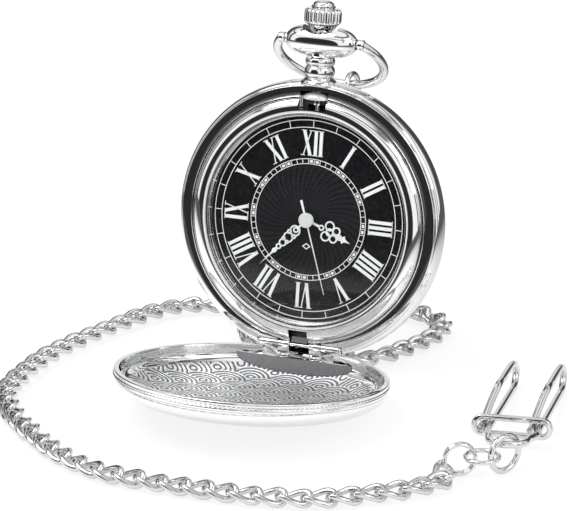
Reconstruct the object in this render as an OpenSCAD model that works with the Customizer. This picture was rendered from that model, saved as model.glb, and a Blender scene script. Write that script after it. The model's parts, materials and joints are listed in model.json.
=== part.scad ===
/* [Case] */
// Outer diameter of the case
case_d = 46; // [42:0.5:56]
// Width of the rounded rim outside the parting face
rim_w = 0.9; // [0.7:0.1:1.4]
// Width of the flat parting face that the cover closes on
ledge_w = 1.6; // [1.2:0.1:2.2]
// Depth of the case band behind the parting face
band_t = 4.6; // [4.6:0.1:6]
// Depth of the back cover behind the band
back_t = 1.6; // [1.3:0.1:2.4]
// Width of the bezel, from its seat to its opening
bezel_w = 3.05; // [2.6:0.05:4]
// Rise of the bezel above the parting face
bezel_h = 1.15; // [0.95:0.05:1.3]

/* [Cover] */
// Height of the cover's rim ring
cover_rim_h = 1.6; // [1.4:0.1:2.2]
// Height of the cover's dome above its rim ring
cover_dome_h = 3.9; // [3:0.1:5]
// Thickness of the cover's sheet
cover_t = 0.55; // [0.45:0.05:0.8]
// Angle at which the cover stands open
cover_open = 90.8; // [80:0.2:92]
// Length of the hinge
hinge_l = 13.9; // [13:0.1:16]
// Diameter of the hinge knuckles
knuckle_d = 1.3; // [1.2:0.05:1.4]
// Diameter of the hinge pin
hinge_pin_d = 0.7; // [0.6:0.05:0.75]

/* [Standing] */
// Angle at which the case leans back when it stands on its open cover
lean = 9.5; // [8:0.1:11]

/* [Pendant, crown and bow] */
// Largest diameter of the pendant's neck
neck_d = 4.9; // [4.6:0.1:6]
// Length of the bow's collar
collar_l = 12.1; // [11.5:0.1:14]
// Diameter of the bow's collar
collar_d = 5.3; // [5:0.1:6.2]
// Diameter of the crown over its flutes
crown_d = 6.1; // [5.6:0.1:6.2]
// Number of flutes on the crown
flutes = 20; // [16:1:24]
// Travel of the crown when it is pressed to free the cover
push_travel = 0.65; // [0.4:0.05:0.65]
// Travel of the crown when it is pulled to set the hands
pull_travel = 1; // [0.6:0.1:1.2]
// Mean radius of the bow's ring
bow_r = 9; // [8.6:0.1:11]
// Diameter of the bow's wire
bow_wire_d = 1.5; // [1.3:0.1:1.7]
// Angle by which the bow hangs below the watch's own horizontal
bow_drop = 34; // [20:1:36]

/* [Dial and hands] */
// Thickness of the dial
dial_t = 0.4; // [0.3:0.05:0.4]
// Reach of the hour hand, from the centre
hour_l = 8.2; // [7:0.1:10]
// Reach of the minute hand, from the centre
minute_l = 11.4; // [10:0.1:14]
// Reach of the second hand, from the centre
second_l = 12.6; // [11:0.1:15]
// Thickness of a hand
hand_t = 0.15; // [0.1:0.01:0.18]
// Diameter of the second hand's arbor
second_arbor_d = 0.4; // [0.34:0.02:0.44]

/* [Movement] */
// Diameter of the quartz movement
movement_d = 21; // [21:0.2:24]
// Depth of the movement behind the dial
movement_t = 3.1; // [3.05:0.05:3.3]
// Diameter of the button cell
cell_d = 5.8; // [4.8:0.1:5.8]
// Height of the button cell
cell_h = 1.6; // [1.2:0.1:1.6]
// Diameter of the winding stem
stem_d = 0.8; // [0.7:0.05:0.9]

/* [Chain and clip] */
// Width over which the chain's links lie
chain_d = 3; // [2.6:0.1:3.2]
// Diameter of the clip's wire
clip_wire_d = 1.2; // [1:0.1:1.3]
// Distance between the clip's two prongs
clip_gap = 7.8; // [7:0.1:8.6]
// Length of the clip's prongs
clip_l = 31; // [28:0.5:34]
// Height of the open jaw between the clip's upper and lower wires
clip_jaw = 4.6; // [4:0.1:5.5]
// Mean radius of the large jump ring
jump_r = 2.8; // [2.6:0.1:3]
// Diameter of the jump rings' wire
jump_wire_d = 0.95; // [0.8:0.05:1]

/* [Hidden] */

$fn = 64;
eps = 0.01;             // overrun of a cut past a face
fit_gap = 0.05;         // clearance between two seated rings
run_gap = 0.05;         // radial clearance of a pin or shaft that turns
arc_n = 8;              // steps of a rounded stretch in a turned outline

// Radii of the case, from the outside in
case_r = case_d / 2;
ledge_r = case_r - rim_w;
seat_r = ledge_r - ledge_w;
open_r = seat_r - bezel_w;
cavity_r = seat_r - 1.3;
dial_r = open_r + 0.75;
snap_r = case_r - 1.85;
bezel_skirt = 1.2;
dial_z = -0.6;
dial_back = dial_z - dial_t;

// Turned outline of the case's outside, from the parting face to the back cover's joint
shoulder_z = -2.2;
belly_z = -2.6;
case_outline = concat(
    [[ledge_r, 0], [ledge_r + 0.15, -0.45]],
    [for (i = [1:arc_n]) let (t = 90 * i / arc_n)
        [ledge_r + 0.15 + (rim_w - 0.15) * sin(t), shoulder_z + (-0.45 - shoulder_z) * cos(t)]],
    [for (i = [0:arc_n]) let (t = 90 * i / arc_n)
        [snap_r + (case_r - snap_r) * cos(t), belly_z - (band_t + belly_z) * sin(t)]]);

// Crystal
crystal_r = open_r + 0.25;
crystal_z = 0.75;
crystal_edge = 0.35;
crystal_rise = 0.6;
gasket_w = 0.25;

// Pendant: its axis lies along Y, this far behind the parting face
pend_z = -1.8;
neck_bore = 1.35;
sleeve_r = neck_bore - run_gap;
neck_foot = case_r - 0.6;
neck_top = case_r + 3.9;
collar_y = case_r + 6.36;
collar_half = collar_l / 2;
tube_r = neck_d / 2 - 0.55;
spigot_r = min(tube_r, -pend_z - 0.1);    // the neck's spigot stays under the parting face
crown_y = collar_y + 3.3;
crown_h = 1.9;
stem_r = stem_d / 2;

// Bow
bow_pin_r = 0.45;
bow_hole = bow_pin_r + run_gap;
bow_end_x = collar_half + 0.85;
bow_eye_w = 1.3;
bow_offset = sqrt(bow_r * bow_r - bow_end_x * bow_end_x);

// Hinge, at six o'clock
hinge_y = -(seat_r + 0.55);
hinge_z = -0.55;
knuckle_r = knuckle_d / 2;
hinge_pin_r = hinge_pin_d / 2;
case_knuckle_x = hinge_l / 2 - 3.1;
cover_knuckle_x = [1.75, case_knuckle_x - 0.06];
swing_r = 1.35;

// Cover, drawn closed
cover_gap = 0.05;
cover_r = ledge_r - 0.03;
cover_in_r = cover_r - 0.87;
cover_rim_top = cover_gap + cover_rim_h;
cover_cut_y = hinge_y + 0.8;
plate_y = hinge_y + 2.15;
dome_r = cover_r - 0.12;
dome_power = 4;
function dome_z(r, radius, h) = cover_rim_top + eps + h * sqrt(max(0, 1 - pow(r / radius, dome_power)));
dome_steps = 24;
dome_outer = [for (i = [0:dome_steps]) let (r = dome_r * sin(90 * i / dome_steps))
    [r, dome_z(r, dome_r, cover_dome_h)]];
dome_in_r = dome_r - cover_t - 0.2;
dome_inner = [for (i = [0:dome_steps]) let (r = dome_in_r * sin(90 * i / dome_steps))
    [r, dome_z(r, dome_in_r, cover_dome_h - cover_t)]];

// The watch stands on the open cover's dome: z0 lifts the lowest point to the floor
function leaned(y, z) = [y * sin(lean) - z * cos(lean), y * cos(lean) + z * sin(lean)];
function swung(y, z) = let (dy = y - hinge_y, dz = z - hinge_z)
    [hinge_y + dy * cos(cover_open) - dz * sin(cover_open), hinge_z + dy * sin(cover_open) + dz * cos(cover_open)];
function cover_point(y, z) = let (p = swung(y, z)) leaned(p[0], p[1]);
z0 = -min([for (p = dome_outer) min(cover_point(-p[0], p[1])[1], cover_point(p[0], p[1])[1])]);
bead_r = 0.15;
bead_z = cover_gap + 0.8;
front_y = cover_point(cover_r + bead_r, bead_z)[0];
bow_far = leaned(collar_y - (bow_offset + bow_r) * sin(bow_drop), pend_z - (bow_offset + bow_r) * cos(bow_drop));
back_y = bow_far[0] + bow_wire_d / 2;
y0 = -(front_y + back_y) / 2;

// Catch at twelve o'clock
catch_in = dial_r + 0.8;
catch_out = cover_in_r - 0.1;
catch_w = 3.8;
window_w = 4.9;
slot_z = -1;

// Dial tracks
track_r = open_r - 0.95;
track_in = track_r * 0.927;
chapter_out = track_r * 0.613;
chapter_in = track_r * 0.557;
print_t = 0.05;
line_w = 0.13;

// Hands: time shown, and heights above the dial
hour_a = -109;
minute_a = -228;
second_a = -167;
hub_a = 0;
hour_z = dial_z + 0.25;
minute_z = hour_z + hand_t + 0.15;
second_z = minute_z + hand_t + 0.12;

// Movement: heights of its layers behind the dial
cannon_r = 0.45;
hour_pipe_r = 0.75;
motion_z = dial_back - 0.4;
plate_z = dial_back - 0.95;
plate_t = 0.45;
wheel_t = 0.2;
layer = 0.3;
centre_z = plate_z - plate_t - layer;
third_z = centre_z - layer;
fourth_z = third_z - layer;
fifth_z = fourth_z - layer;
bridge_z = dial_back - movement_t;
bridge_t = 0.35;
movement_r = movement_d / 2;

// Gear trains: teeth, centre distances and places
centre_t = 64;
third_t = 60;
third_p = 8;
fourth_t = 45;
fourth_p = 8;
fifth_t = 60;
fifth_p = 15;
rotor_p = 6;
cannon_t = 12;
minute_t = 36;
minute_p = 10;
hour_t = 40;
third_at = 3.6;
fifth_at = 3.7;
minute_at = 2.4;
rotor_at = 2.64;
third_pos = [third_at * cos(150), third_at * sin(150)];
fifth_pos = [fifth_at * cos(30), fifth_at * sin(30)];
minute_pos = [0, minute_at];
rotor_pos = fifth_pos + [rotor_at * cos(-60), rotor_at * sin(-60)];
setting_t = 20;
third_m = 2 * third_at / (centre_t + third_p);
fourth_m = 2 * third_at / (third_t + fourth_p);
fifth_m = 2 * fifth_at / (fourth_t + fifth_p);
rotor_m = 2 * rotor_at / (fifth_t + rotor_p);
cannon_m = 2 * minute_at / (cannon_t + minute_t);
hour_m = 2 * minute_at / (hour_t + minute_p);
setting_r = cannon_m * setting_t / 2;
setting_pos = minute_pos + [0, cannon_m * (minute_t + setting_t) / 2];
pinion_end = setting_pos[1] + setting_r + 0.3;
stem_end = pinion_end + push_travel + 0.1;
arbor_r = 0.12;
cell_pos = [-4.9, -4.9];
coil_x = 7.6;
coil_r = 0.6;
coil_l = 6;
can_r = 0.45;

// Chain: hand-chosen route on the floor, and up to the bow's jump ring, then its smooth tube
spread = case_d / 46;                     // the floor route widens with the case
link_local = bow_offset + (bow_r + 1) * sin(84);
link_yz = leaned(collar_y - link_local * sin(bow_drop), pend_z - link_local * cos(bow_drop)) + [y0, z0];
rise_y = link_yz[0] + 0.1;
rise_top = link_yz[1] - 2.95;
floor_route = [
    [37.5, -23.6, 1.8], [38.6, -27.5, 1.5], [36, -32, 1.5], [31.5, -36, 1.5], [23.5, -41.5, 1.5], [14, -44, 1.5],
    [6, -44.5, 1.5], [-3, -44.5, 1.5], [-11.5, -43.5, 1.5], [-20, -39.5, 1.5], [-28, -33, 1.5],
    [-34, -27, 1.5], [-39, -19.5, 1.5], [-40.5, -11, 1.5], [-40.5, -2, 1.5], [-39, 6.5, 1.5], [-36, 16.5, 1.5],
    [-32.5, 25.5, 1.5], [-27.5, 31, 1.5], [-21, 32, 1.5], [-16, 26.5, 1.5], [-12, 19.5, 1.5], [-6, 15.9, 1.5],
    [0, 15.6, 1.5], [6, 15.9, 1.5], [11, 19, 1.5], [14, 25, 1.5], [16, 31, 1.5], [15.5, 37, 1.5], [11, 41, 1.5]];
behind = 2 * (spread - 1);                  // a wider case leans further back over the route
chain_route = concat([for (p = floor_route) [p[0] * spread, p[1] * spread + (p[1] > 10 ? behind : 0), p[2]]],
    [[5.5, rise_y + 8, 1.5], [2.5, rise_y + 4.5, 3], [1.2, rise_y + 1, rise_top * 0.2]],
    [for (f = [0.395, 0.62, 0.815, 1]) [1, rise_y, rise_top * f]]);
clip_shift = [37.5, -23.6, 0] * (spread - 1);    // the rings and the clip stay at the chain's end
chain_sides = 8;
chain_steps = 2;
clip_at = [44.5, -13.1, 4.15];
jump_at = [45.4, -18.35, 3.3];
clip_turn = 9.8;
clip_dip = 6.6;
clip_r = clip_wire_d / 2;
slider_y = 5.1;

// ---- shared shapes ----

module placed() translate([0, y0, z0]) rotate([90 - lean, 0, 0]) children();
module closed_to_open() translate([0, hinge_y, hinge_z]) rotate([cover_open, 0, 0])
    translate([0, -hinge_y, -hinge_z]) children();
module pendant() translate([0, 0, pend_z]) rotate([-90, 0, 0]) children();
module along_x(x0, x1, r) translate([x0, 0, 0]) rotate([0, 90, 0]) cylinder(r = r, h = x1 - x0);
module ring(r_out, r_in, h) difference() {
    cylinder(r = r_out, h = h);
    translate([0, 0, -eps]) cylinder(r = r_in, h = h + 2 * eps);
}
module tooth_disc(teeth, m, h) {
    r = m * teeth / 2;
    pitch = 360 / teeth;
    linear_extrude(h) polygon([for (i = [0:teeth - 1]) for (p = [
        [-0.42, -1.1], [-0.16, -0.2], [-0.08, 0.75], [0.08, 0.75], [0.16, -0.2], [0.42, -1.1]])
        let (a = (i + p[0]) * pitch, rr = r + p[1] * m) [rr * cos(a), rr * sin(a)]]);
}
module turned_case() rotate_extrude() polygon(concat([[0, 0]], case_outline, [[0, -band_t]]));
module cover_inside() rotate_extrude() polygon(concat([[0, cover_gap], [cover_in_r - 0.05, cover_gap]],
    [for (i = [dome_steps:-1:0]) [dome_inner[i][0] * 0.997, dome_inner[i][1] - 0.06]]));

// ---- case ----

module mid_case() color("silver") placed() difference() {
    rotate_extrude() polygon(concat([[seat_r, 0]], case_outline,
        [[cavity_r, -band_t], [cavity_r, -bezel_skirt], [seat_r, -bezel_skirt]]));
    // groove for the back gasket
    translate([0, 0, -band_t - eps]) ring(cavity_r + 1.1, cavity_r + 0.4, 0.41);
    // bore and counterbore for the pendant
    pendant() cylinder(r = neck_bore, h = case_r + 1);
    pendant() translate([0, 0, case_r - 1.5]) cylinder(r = spigot_r + fit_gap, h = 3);
    // slot for the catch and its tab
    translate([-window_w / 2, catch_in - push_travel - 0.1, slot_z - 0.25])
        cube([window_w, catch_out - catch_in + push_travel + 0.2, 2]);
    translate([-1.4, cavity_r - 0.6, pend_z - 1.1]) cube([2.8, catch_out + 0.15 - cavity_r + 0.6, 3]);
    // slots for the hinge knuckles
    translate([0, hinge_y, hinge_z]) {
        along_x(-hinge_l / 2 - 0.5, hinge_l / 2 + 0.5, knuckle_r + eps);
        along_x(-case_knuckle_x, case_knuckle_x, swing_r);
    }
    translate([-hinge_l / 2 - 0.5, hinge_y - knuckle_r, hinge_z]) cube([hinge_l + 1, knuckle_d, 1]);
    // notch that the cover's knuckle arms swing down into
    translate([-case_knuckle_x, -case_r - 1, hinge_z - 0.45]) cube([2 * case_knuckle_x, case_r + 1 + hinge_y, 3]);
}

module bezel() color("gainsboro") placed() difference() {
    rotate_extrude() polygon(concat(
        [[dial_r + fit_gap, -bezel_skirt], [seat_r - fit_gap, -bezel_skirt], [seat_r - fit_gap, 0.05],
         [seat_r - 0.1, 0.2], [seat_r - 0.45, 0.2], [seat_r - 0.5, 0.08], [seat_r - 0.55, 0.2]],
        [for (i = [1:arc_n]) let (t = 90 * i / arc_n, r_in = crystal_r + gasket_w)
            [r_in + 0.15 + (seat_r - 0.7 - r_in) * cos(t), 0.2 + (bezel_h - 0.2) * sin(t)]],
        [[crystal_r + gasket_w, bezel_h - 0.05], [crystal_r + gasket_w, crystal_z - 0.03],
         [open_r, crystal_z - 0.03], [open_r, dial_z], [dial_r + fit_gap, dial_z]]));
    translate([-window_w / 2, dial_r + 0.1, -2]) cube([window_w, 4, 4]);
    translate([-1.65, -seat_r - 1, -2]) cube([3.3, seat_r + 1 - dial_r - 0.15, 4]);
    translate([0, hinge_y, hinge_z]) along_x(-case_knuckle_x, case_knuckle_x, 0.75);
}

module crystal() color([0.8, 0.9, 1, 0.3]) placed() rotate_extrude() polygon(concat(
    [[0, crystal_z], [crystal_r, crystal_z]],
    [for (i = [0:arc_n]) let (r = crystal_r * (1 - i / arc_n))
        [r, crystal_z + crystal_edge + crystal_rise * (1 - pow(r / crystal_r, 2))]]));

module crystal_gasket() color("whitesmoke") placed() translate([0, 0, crystal_z - 0.03])
    ring(crystal_r + gasket_w - 0.02, crystal_r + 0.02, crystal_edge);

module rehaut() color("lightgray") placed() rotate_extrude() polygon([
    [open_r - 0.03, dial_z], [open_r - 0.03, crystal_z - 0.06], [open_r - 0.15, crystal_z - 0.06],
    [open_r - 0.2, 0.2], [open_r - 0.3, 0.2], [open_r - 0.5, dial_z + 0.15], [open_r - 0.5, dial_z]]);

module back_cover() color("silver") placed() rotate_extrude() polygon(concat(
    [[0, -band_t - back_t], [13, -band_t - back_t]],
    [for (i = [1:arc_n]) let (t = i / arc_n)
        [13 + (snap_r - 13) * sin(90 * t), -band_t - back_t * (0.28 + 0.72 * cos(90 * t)) + 0.28 * back_t * t]],
    [[cavity_r - 0.03, -band_t], [cavity_r - 0.03, bridge_z - 0.2], [cavity_r - 0.15, bridge_z - 0.08],
     [cavity_r - 0.8, bridge_z - 0.08], [cavity_r - 0.8, -band_t - 0.35], [0, -band_t - 0.35]]));

module back_gasket() color("dimgray") placed() translate([0, 0, -band_t])
    ring(cavity_r + 1.05, cavity_r + 0.45, 0.38);

// ---- pendant, crown and bow ----

module pendant_neck() color("silver") placed() difference() {
    pendant() rotate_extrude() polygon(concat(
        [[neck_bore, case_r - 1.45], [spigot_r, case_r - 1.45], [spigot_r, neck_foot], [3, neck_foot],
         [3.05, neck_foot + 0.35], [2.5, neck_foot + 0.75], [neck_d / 2 - 0.3, neck_foot + 1.05]],
        [for (i = [0:arc_n]) let (t = 180 * i / arc_n)
            [neck_d / 2 - 0.3 + 0.3 * sin(t), case_r + 1.4 - 0.9 * cos(t)]],
        [[neck_d / 2 - 0.4, case_r + 2.4], [neck_d / 2 - 0.2, case_r + 2.5], [neck_d / 2 - 0.05, case_r + 2.7],
         [neck_d / 2 - 0.05, case_r + 3.6], [neck_d / 2 - 0.2, case_r + 3.8], [tube_r, neck_top],
         [tube_r, collar_y + 0.7], [neck_bore, collar_y + 0.7]]));
    turned_case();
}

module collar_outline() rotate([0, 90, 0]) rotate_extrude() polygon(concat([[0, -collar_half]],
    [for (i = [0:2 * arc_n]) let (x = collar_half * (i / arc_n - 1))
        [max(0.95, collar_d / 2 * sqrt(1 - pow(abs(x) / (collar_half + 0.15), 3))), x]], [[0, collar_half]]));

module bow_collar() color("silver") placed() difference() {
    translate([0, collar_y, pend_z]) collar_outline();
    pendant() cylinder(r = tube_r + 0.02, h = collar_y + 3);
    // seat for the crown, deep enough for its travel
    pendant() rotate_extrude() polygon([[0, collar_y + 0.9], [tube_r, collar_y + 0.9],
        [crown_d / 2 + 0.15, collar_y + 1.85], [crown_d / 2 + 0.15, collar_y + 4], [0, collar_y + 4]]);
    // neck's shoulder, and the bow's two holes
    pendant() translate([0, 0, collar_y - 4]) cylinder(r = neck_d / 2 + 0.02, h = neck_top - collar_y + 4);
    translate([0, collar_y, pend_z]) for (s = [-1, 1])
        along_x(s * (collar_half - 0.5) - 1, s * (collar_half - 0.5) + 1, bow_hole);
}

module push_sleeve() color("goldenrod") placed() pendant() translate([0, 0, catch_out + 0.03])
    ring(sleeve_r, stem_r + 0.25, collar_y + 1.5 - catch_out - 0.03);

module winding_stem() color("slategray") placed() pendant() translate([0, 0, stem_end])
    cylinder(r = stem_r, h = crown_y + 0.8 - stem_end);

module crown() color("silver") placed() pendant() difference() {
    union() {
        rotate_extrude() polygon([[0, collar_y + 1.6], [1.6, collar_y + 1.6], [crown_d / 2 - 0.35, crown_y - 0.3],
            [crown_d / 2 - 0.3, crown_y], [crown_d / 2 - 0.3, crown_y + crown_h],
            [crown_d / 2 - 0.7, crown_y + crown_h + 0.25], [0, crown_y + crown_h + 0.25]]);
        for (i = [0:flutes - 1]) rotate(i * 360 / flutes) translate([crown_d / 2 - 0.3, 0, crown_y - 0.05])
            cylinder(r = 0.3, h = crown_h);
    }
    translate([0, 0, collar_y]) cylinder(r = stem_r + 0.02, h = crown_y + 0.82 - collar_y);
}

module crown_cap() color("gainsboro") placed() pendant() translate([0, 0, crown_y + crown_h + 0.25])
    rotate_extrude() polygon(concat([[0, 0], [1.75, 0], [1.95, 0.15], [1.95, 0.35], [1.8, 0.45]],
        [for (i = [0:arc_n]) let (t = 90 * i / arc_n) [1.8 * cos(t), 0.45 + 0.9 * sin(t)]]));

module bow() color("silver") placed() translate([0, collar_y, pend_z]) rotate([-90 - bow_drop, 0, 0]) {
    a = asin(bow_offset / bow_r);
    translate([0, bow_offset, 0]) rotate([0, 0, -a]) rotate_extrude(angle = 180 + 2 * a)
        translate([bow_r, 0]) circle(r = bow_wire_d / 2);
    // flattened ends, and the pins that turn in the collar
    for (s = [-1, 1]) {
        along_x(s * bow_end_x - bow_eye_w / 2, s * bow_end_x + bow_eye_w / 2, bow_wire_d / 2 + 0.2);
        along_x(s * (collar_half + 0.2) - 1, s * (collar_half + 0.2) + 1, bow_pin_r);
    }
}

module bow_link() color("silver") placed() translate([0, collar_y, pend_z]) rotate([-90 - bow_drop, 0, 0])
    translate([0, bow_offset, 0]) rotate(84) translate([bow_r + 1, 0, 0]) rotate([90, 0, 0])
        rotate_extrude() translate([2.3, 0]) circle(r = 0.45);

// ---- catch and hinge ----

module cover_catch() color("silver") placed() {
    translate([-catch_w / 2, catch_in, slot_z]) cube([catch_w, catch_out - catch_in - 0.9, 0.8]);
    difference() {
        union() {
            translate([-catch_w / 2, catch_out - 0.95, slot_z]) cube([catch_w, 0.9, 0.9]);
            intersection() {
                translate([0, catch_out - 2.4, -1.6]) sphere(r = 2.85);
                translate([-catch_w / 2, catch_out - 0.95, slot_z]) cube([catch_w, 0.9, 3]);
            }
        }
    }
    // tab that the sleeve presses, with a slot for the stem
    difference() {
        translate([-1.2, catch_out - 0.6, pend_z - 0.9]) cube([2.4, 0.55, slot_z - pend_z + 0.9]);
        pendant() cylinder(r = stem_r + 0.2, h = case_r);
    }
}

module catch_spring() color("gray") placed() for (s = [-1, 1])
    translate([s * 2.3 - 0.1, catch_in - push_travel + 0.1, slot_z - 0.2]) cube([0.2, 1.9, 0.5]);

module hinge_tubes() color("silver") placed() translate([0, hinge_y, hinge_z]) for (s = [-1, 1]) difference() {
    along_x(s > 0 ? case_knuckle_x : -hinge_l / 2, s > 0 ? hinge_l / 2 : -case_knuckle_x, knuckle_r);
    along_x(-hinge_l, hinge_l, hinge_pin_r + 0.01);
}

module hinge_pin() color("gainsboro") placed() translate([0, hinge_y, hinge_z]) {
    along_x(-hinge_l / 2 - 0.3, hinge_l / 2 + 0.3, hinge_pin_r);
    for (s = [-1, 1]) along_x(s * (hinge_l / 2 + 0.15) - 0.13, s * (hinge_l / 2 + 0.15) + 0.13, knuckle_r - 0.12);
}

module lift_spring() color("gray") placed() translate([-1.4, 0, 0]) rotate([90, 0, 90]) linear_extrude(2.8)
    polygon([[-dial_r - 0.3, -bezel_skirt], [-dial_r - 0.3, -1], [-seat_r + 0.9, -0.1], [hinge_y + 0.5, -0.02],
        [hinge_y + 0.5, -0.17], [-seat_r + 1, -0.27], [-dial_r - 0.45, -bezel_skirt]]);

// ---- cover ----

module cover_rim() color("silver") placed() closed_to_open() difference() {
    rotate_extrude() polygon([[cover_in_r, cover_gap], [cover_r - 0.1, cover_gap], [cover_r, cover_gap + 0.1],
        [cover_r, bead_z - 0.2], [cover_r + bead_r, bead_z - 0.1], [cover_r + bead_r, bead_z + 0.1],
        [cover_r, bead_z + 0.2], [cover_r, cover_rim_top - 0.15], [cover_r - 0.15, cover_rim_top],
        [cover_in_r, cover_rim_top]]);
    translate([-20, -40, -1]) cube([40, 40 + cover_cut_y, 5]);
}

module cover_shell() color("silver") placed() closed_to_open() rotate_extrude() polygon(concat(
    dome_outer, [for (i = [dome_steps:-1:0]) dome_inner[i]]));

module cover_hinge_plate() color("darkgray") placed() closed_to_open() {
    intersection() {
        translate([-20, plate_y, bezel_h + 0.08]) cube([40, 0.35, 10]);
        cover_inside();
    }
    lug_w = cover_knuckle_x[1] - cover_knuckle_x[0];
    for (x = [cover_knuckle_x[0], -cover_knuckle_x[1]]) difference() {
        union() {
            translate([0, hinge_y, hinge_z]) along_x(x, x + lug_w, knuckle_r);
            translate([x, hinge_y - 0.3, hinge_z]) cube([lug_w, 0.75, cover_rim_top - 0.05 - hinge_z]);
            translate([x, hinge_y, bezel_h + 0.08])
                cube([lug_w, plate_y + 0.2 - hinge_y, cover_rim_top - bezel_h - 0.13]);
        }
        translate([0, hinge_y, hinge_z]) along_x(-hinge_l, hinge_l, hinge_pin_r + run_gap);
    }
}

// ---- dial and hands ----

module dial() color("black") placed() translate([0, 0, dial_back]) ring(dial_r, hour_pipe_r + 0.1, dial_t);

module stroke(w, h, x = 0, lean_x = 0) polygon([[x - w / 2 - lean_x, 0], [x + w / 2 - lean_x, 0],
    [x + w / 2 + lean_x, h], [x - w / 2 + lean_x, h]]);
function numeral(h) = ["XII", "I", "II", "III", "IIII", "V", "VI", "VII", "VIII", "IX", "X", "XI"][h];
function letter_w(c) = c == "I" ? 0.85 : c == "V" ? 2 : 2.1;
function word_w(s, n) = n == 0 ? 0 : letter_w(s[n - 1]) + word_w(s, n - 1);
numeral_h = track_in * 0.27;
module letter(c) {
    if (c == "I") stroke(0.4, numeral_h);
    if (c == "V") {
        polygon([[-0.95, numeral_h], [-0.45, numeral_h], [0.2, 0], [-0.2, 0]]);
        polygon([[0.6, numeral_h], [0.85, numeral_h], [0.12, 0], [-0.12, 0]]);
    }
    if (c == "X") {
        polygon([[-0.95, numeral_h], [-0.45, numeral_h], [0.95, 0], [0.45, 0]]);
        polygon([[0.6, numeral_h], [0.85, numeral_h], [-0.6, 0], [-0.85, 0]]);
    }
    translate([-letter_w(c) / 2, -0.01]) square([letter_w(c), 0.2]);
    translate([-letter_w(c) / 2, numeral_h - 0.19]) square([letter_w(c), 0.2]);
}
module dial_print() color("white") placed() translate([0, 0, dial_z]) {
    ring(track_r, track_r - line_w, print_t);
    ring(track_in, track_in - line_w, print_t);
    ring(chapter_out, chapter_out - line_w, print_t);
    ring(chapter_in + line_w, chapter_in, print_t);
    linear_extrude(print_t) {
        for (i = [0:23]) rotate(-15 * i) translate([-line_w / 2, track_in - 0.02])
            square([line_w, track_r - track_in - line_w + 0.04]);
        for (i = [0:59]) rotate(-6 * i - 3) translate([-line_w / 2, chapter_in + 0.02])
            square([line_w, chapter_out - chapter_in - 0.04]);
        for (h = [0:11]) rotate(-30 * h) translate([0, track_in * 0.69]) {
            s = numeral(h);
            for (k = [0:len(s) - 1])
                translate([word_w(s, k) + letter_w(s[k]) / 2 - word_w(s, len(s)) / 2, 0]) letter(s[k]);
        }
    }
}

module hour_hand() color("white") placed() translate([0, 0, hour_z]) difference() {
    rotate(hour_a) union() {
        cylinder(r = hour_pipe_r + 0.35, h = hand_t);
        linear_extrude(hand_t) {
            translate([-0.22, 0.5]) square([0.44, 2.4]);
            for (p = [[-0.75, 3.5], [0.75, 3.5], [-0.8, 4.9], [0.8, 4.9], [0, 5.6]]) translate(p) difference() {
                circle(r = 0.72);
                circle(r = 0.42);
            }
            translate([-0.2, 2.6]) square([0.4, 3]);
            polygon([[-0.3, 6], [-0.75, 6.9], [0, hour_l], [0.75, 6.9], [0.3, 6]]);
        }
    }
    translate([0, 0, -1]) cylinder(r = hour_pipe_r, h = 3);
}

module minute_hand() color("white") placed() translate([0, 0, minute_z]) difference() {
    rotate(minute_a) union() {
        cylinder(r = cannon_r + 0.4, h = hand_t);
        linear_extrude(hand_t) {
            translate([-0.2, 0.4]) square([0.4, 1.6]);
            for (p = [[0, 2.5, 0.8], [-0.5, 3.7, 0.65], [0.5, 3.7, 0.65], [0, 4.9, 0.8], [0, 6.2, 0.65]])
                translate([p[0], p[1]]) difference() {
                    circle(r = p[2]);
                    circle(r = p[2] - 0.25);
                }
            polygon([[-0.28, 6.7], [-0.42, 7.8], [0, minute_l], [0.42, 7.8], [0.28, 6.7]]);
        }
    }
    translate([0, 0, -1]) cylinder(r = cannon_r, h = 3);
}

module second_hand() color("white") placed() translate([0, 0, second_z]) difference() {
    rotate(second_a) union() {
        cylinder(r = 0.5, h = hand_t);
        linear_extrude(hand_t) polygon([[-0.2, -3.4], [0.2, -3.4], [0.1, 0], [0.05, second_l], [-0.05, second_l],
            [-0.1, 0]]);
    }
    translate([0, 0, -1]) cylinder(r = second_arbor_d / 2, h = 3);
}

module hand_cap() color("whitesmoke") placed() translate([0, 0, second_z + hand_t]) rotate_extrude()
    polygon([[0, 0], [1.1, 0], [1.25, 0.06], [1.1, 0.16], [0.5, 0.2], [0, 0.22]]);

// ---- movement ----

module movement_ring() color("ivory") placed() difference() {
    rotate_extrude() polygon([[movement_r + fit_gap, bridge_z], [cavity_r - 0.1, bridge_z],
        [cavity_r - 0.1, -bezel_skirt - 0.05], [dial_r - 0.1, -bezel_skirt - 0.05], [dial_r - 0.1, dial_back],
        [movement_r + fit_gap, dial_back]]);
    pendant() cylinder(r = sleeve_r + 0.15, h = case_r);
    translate([-1.6, catch_in - 0.7, -5]) cube([3.2, 3, 5]);
    translate([-3, catch_in - 0.9, dial_back - 0.6]) cube([6, 3, 5]);
}

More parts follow.
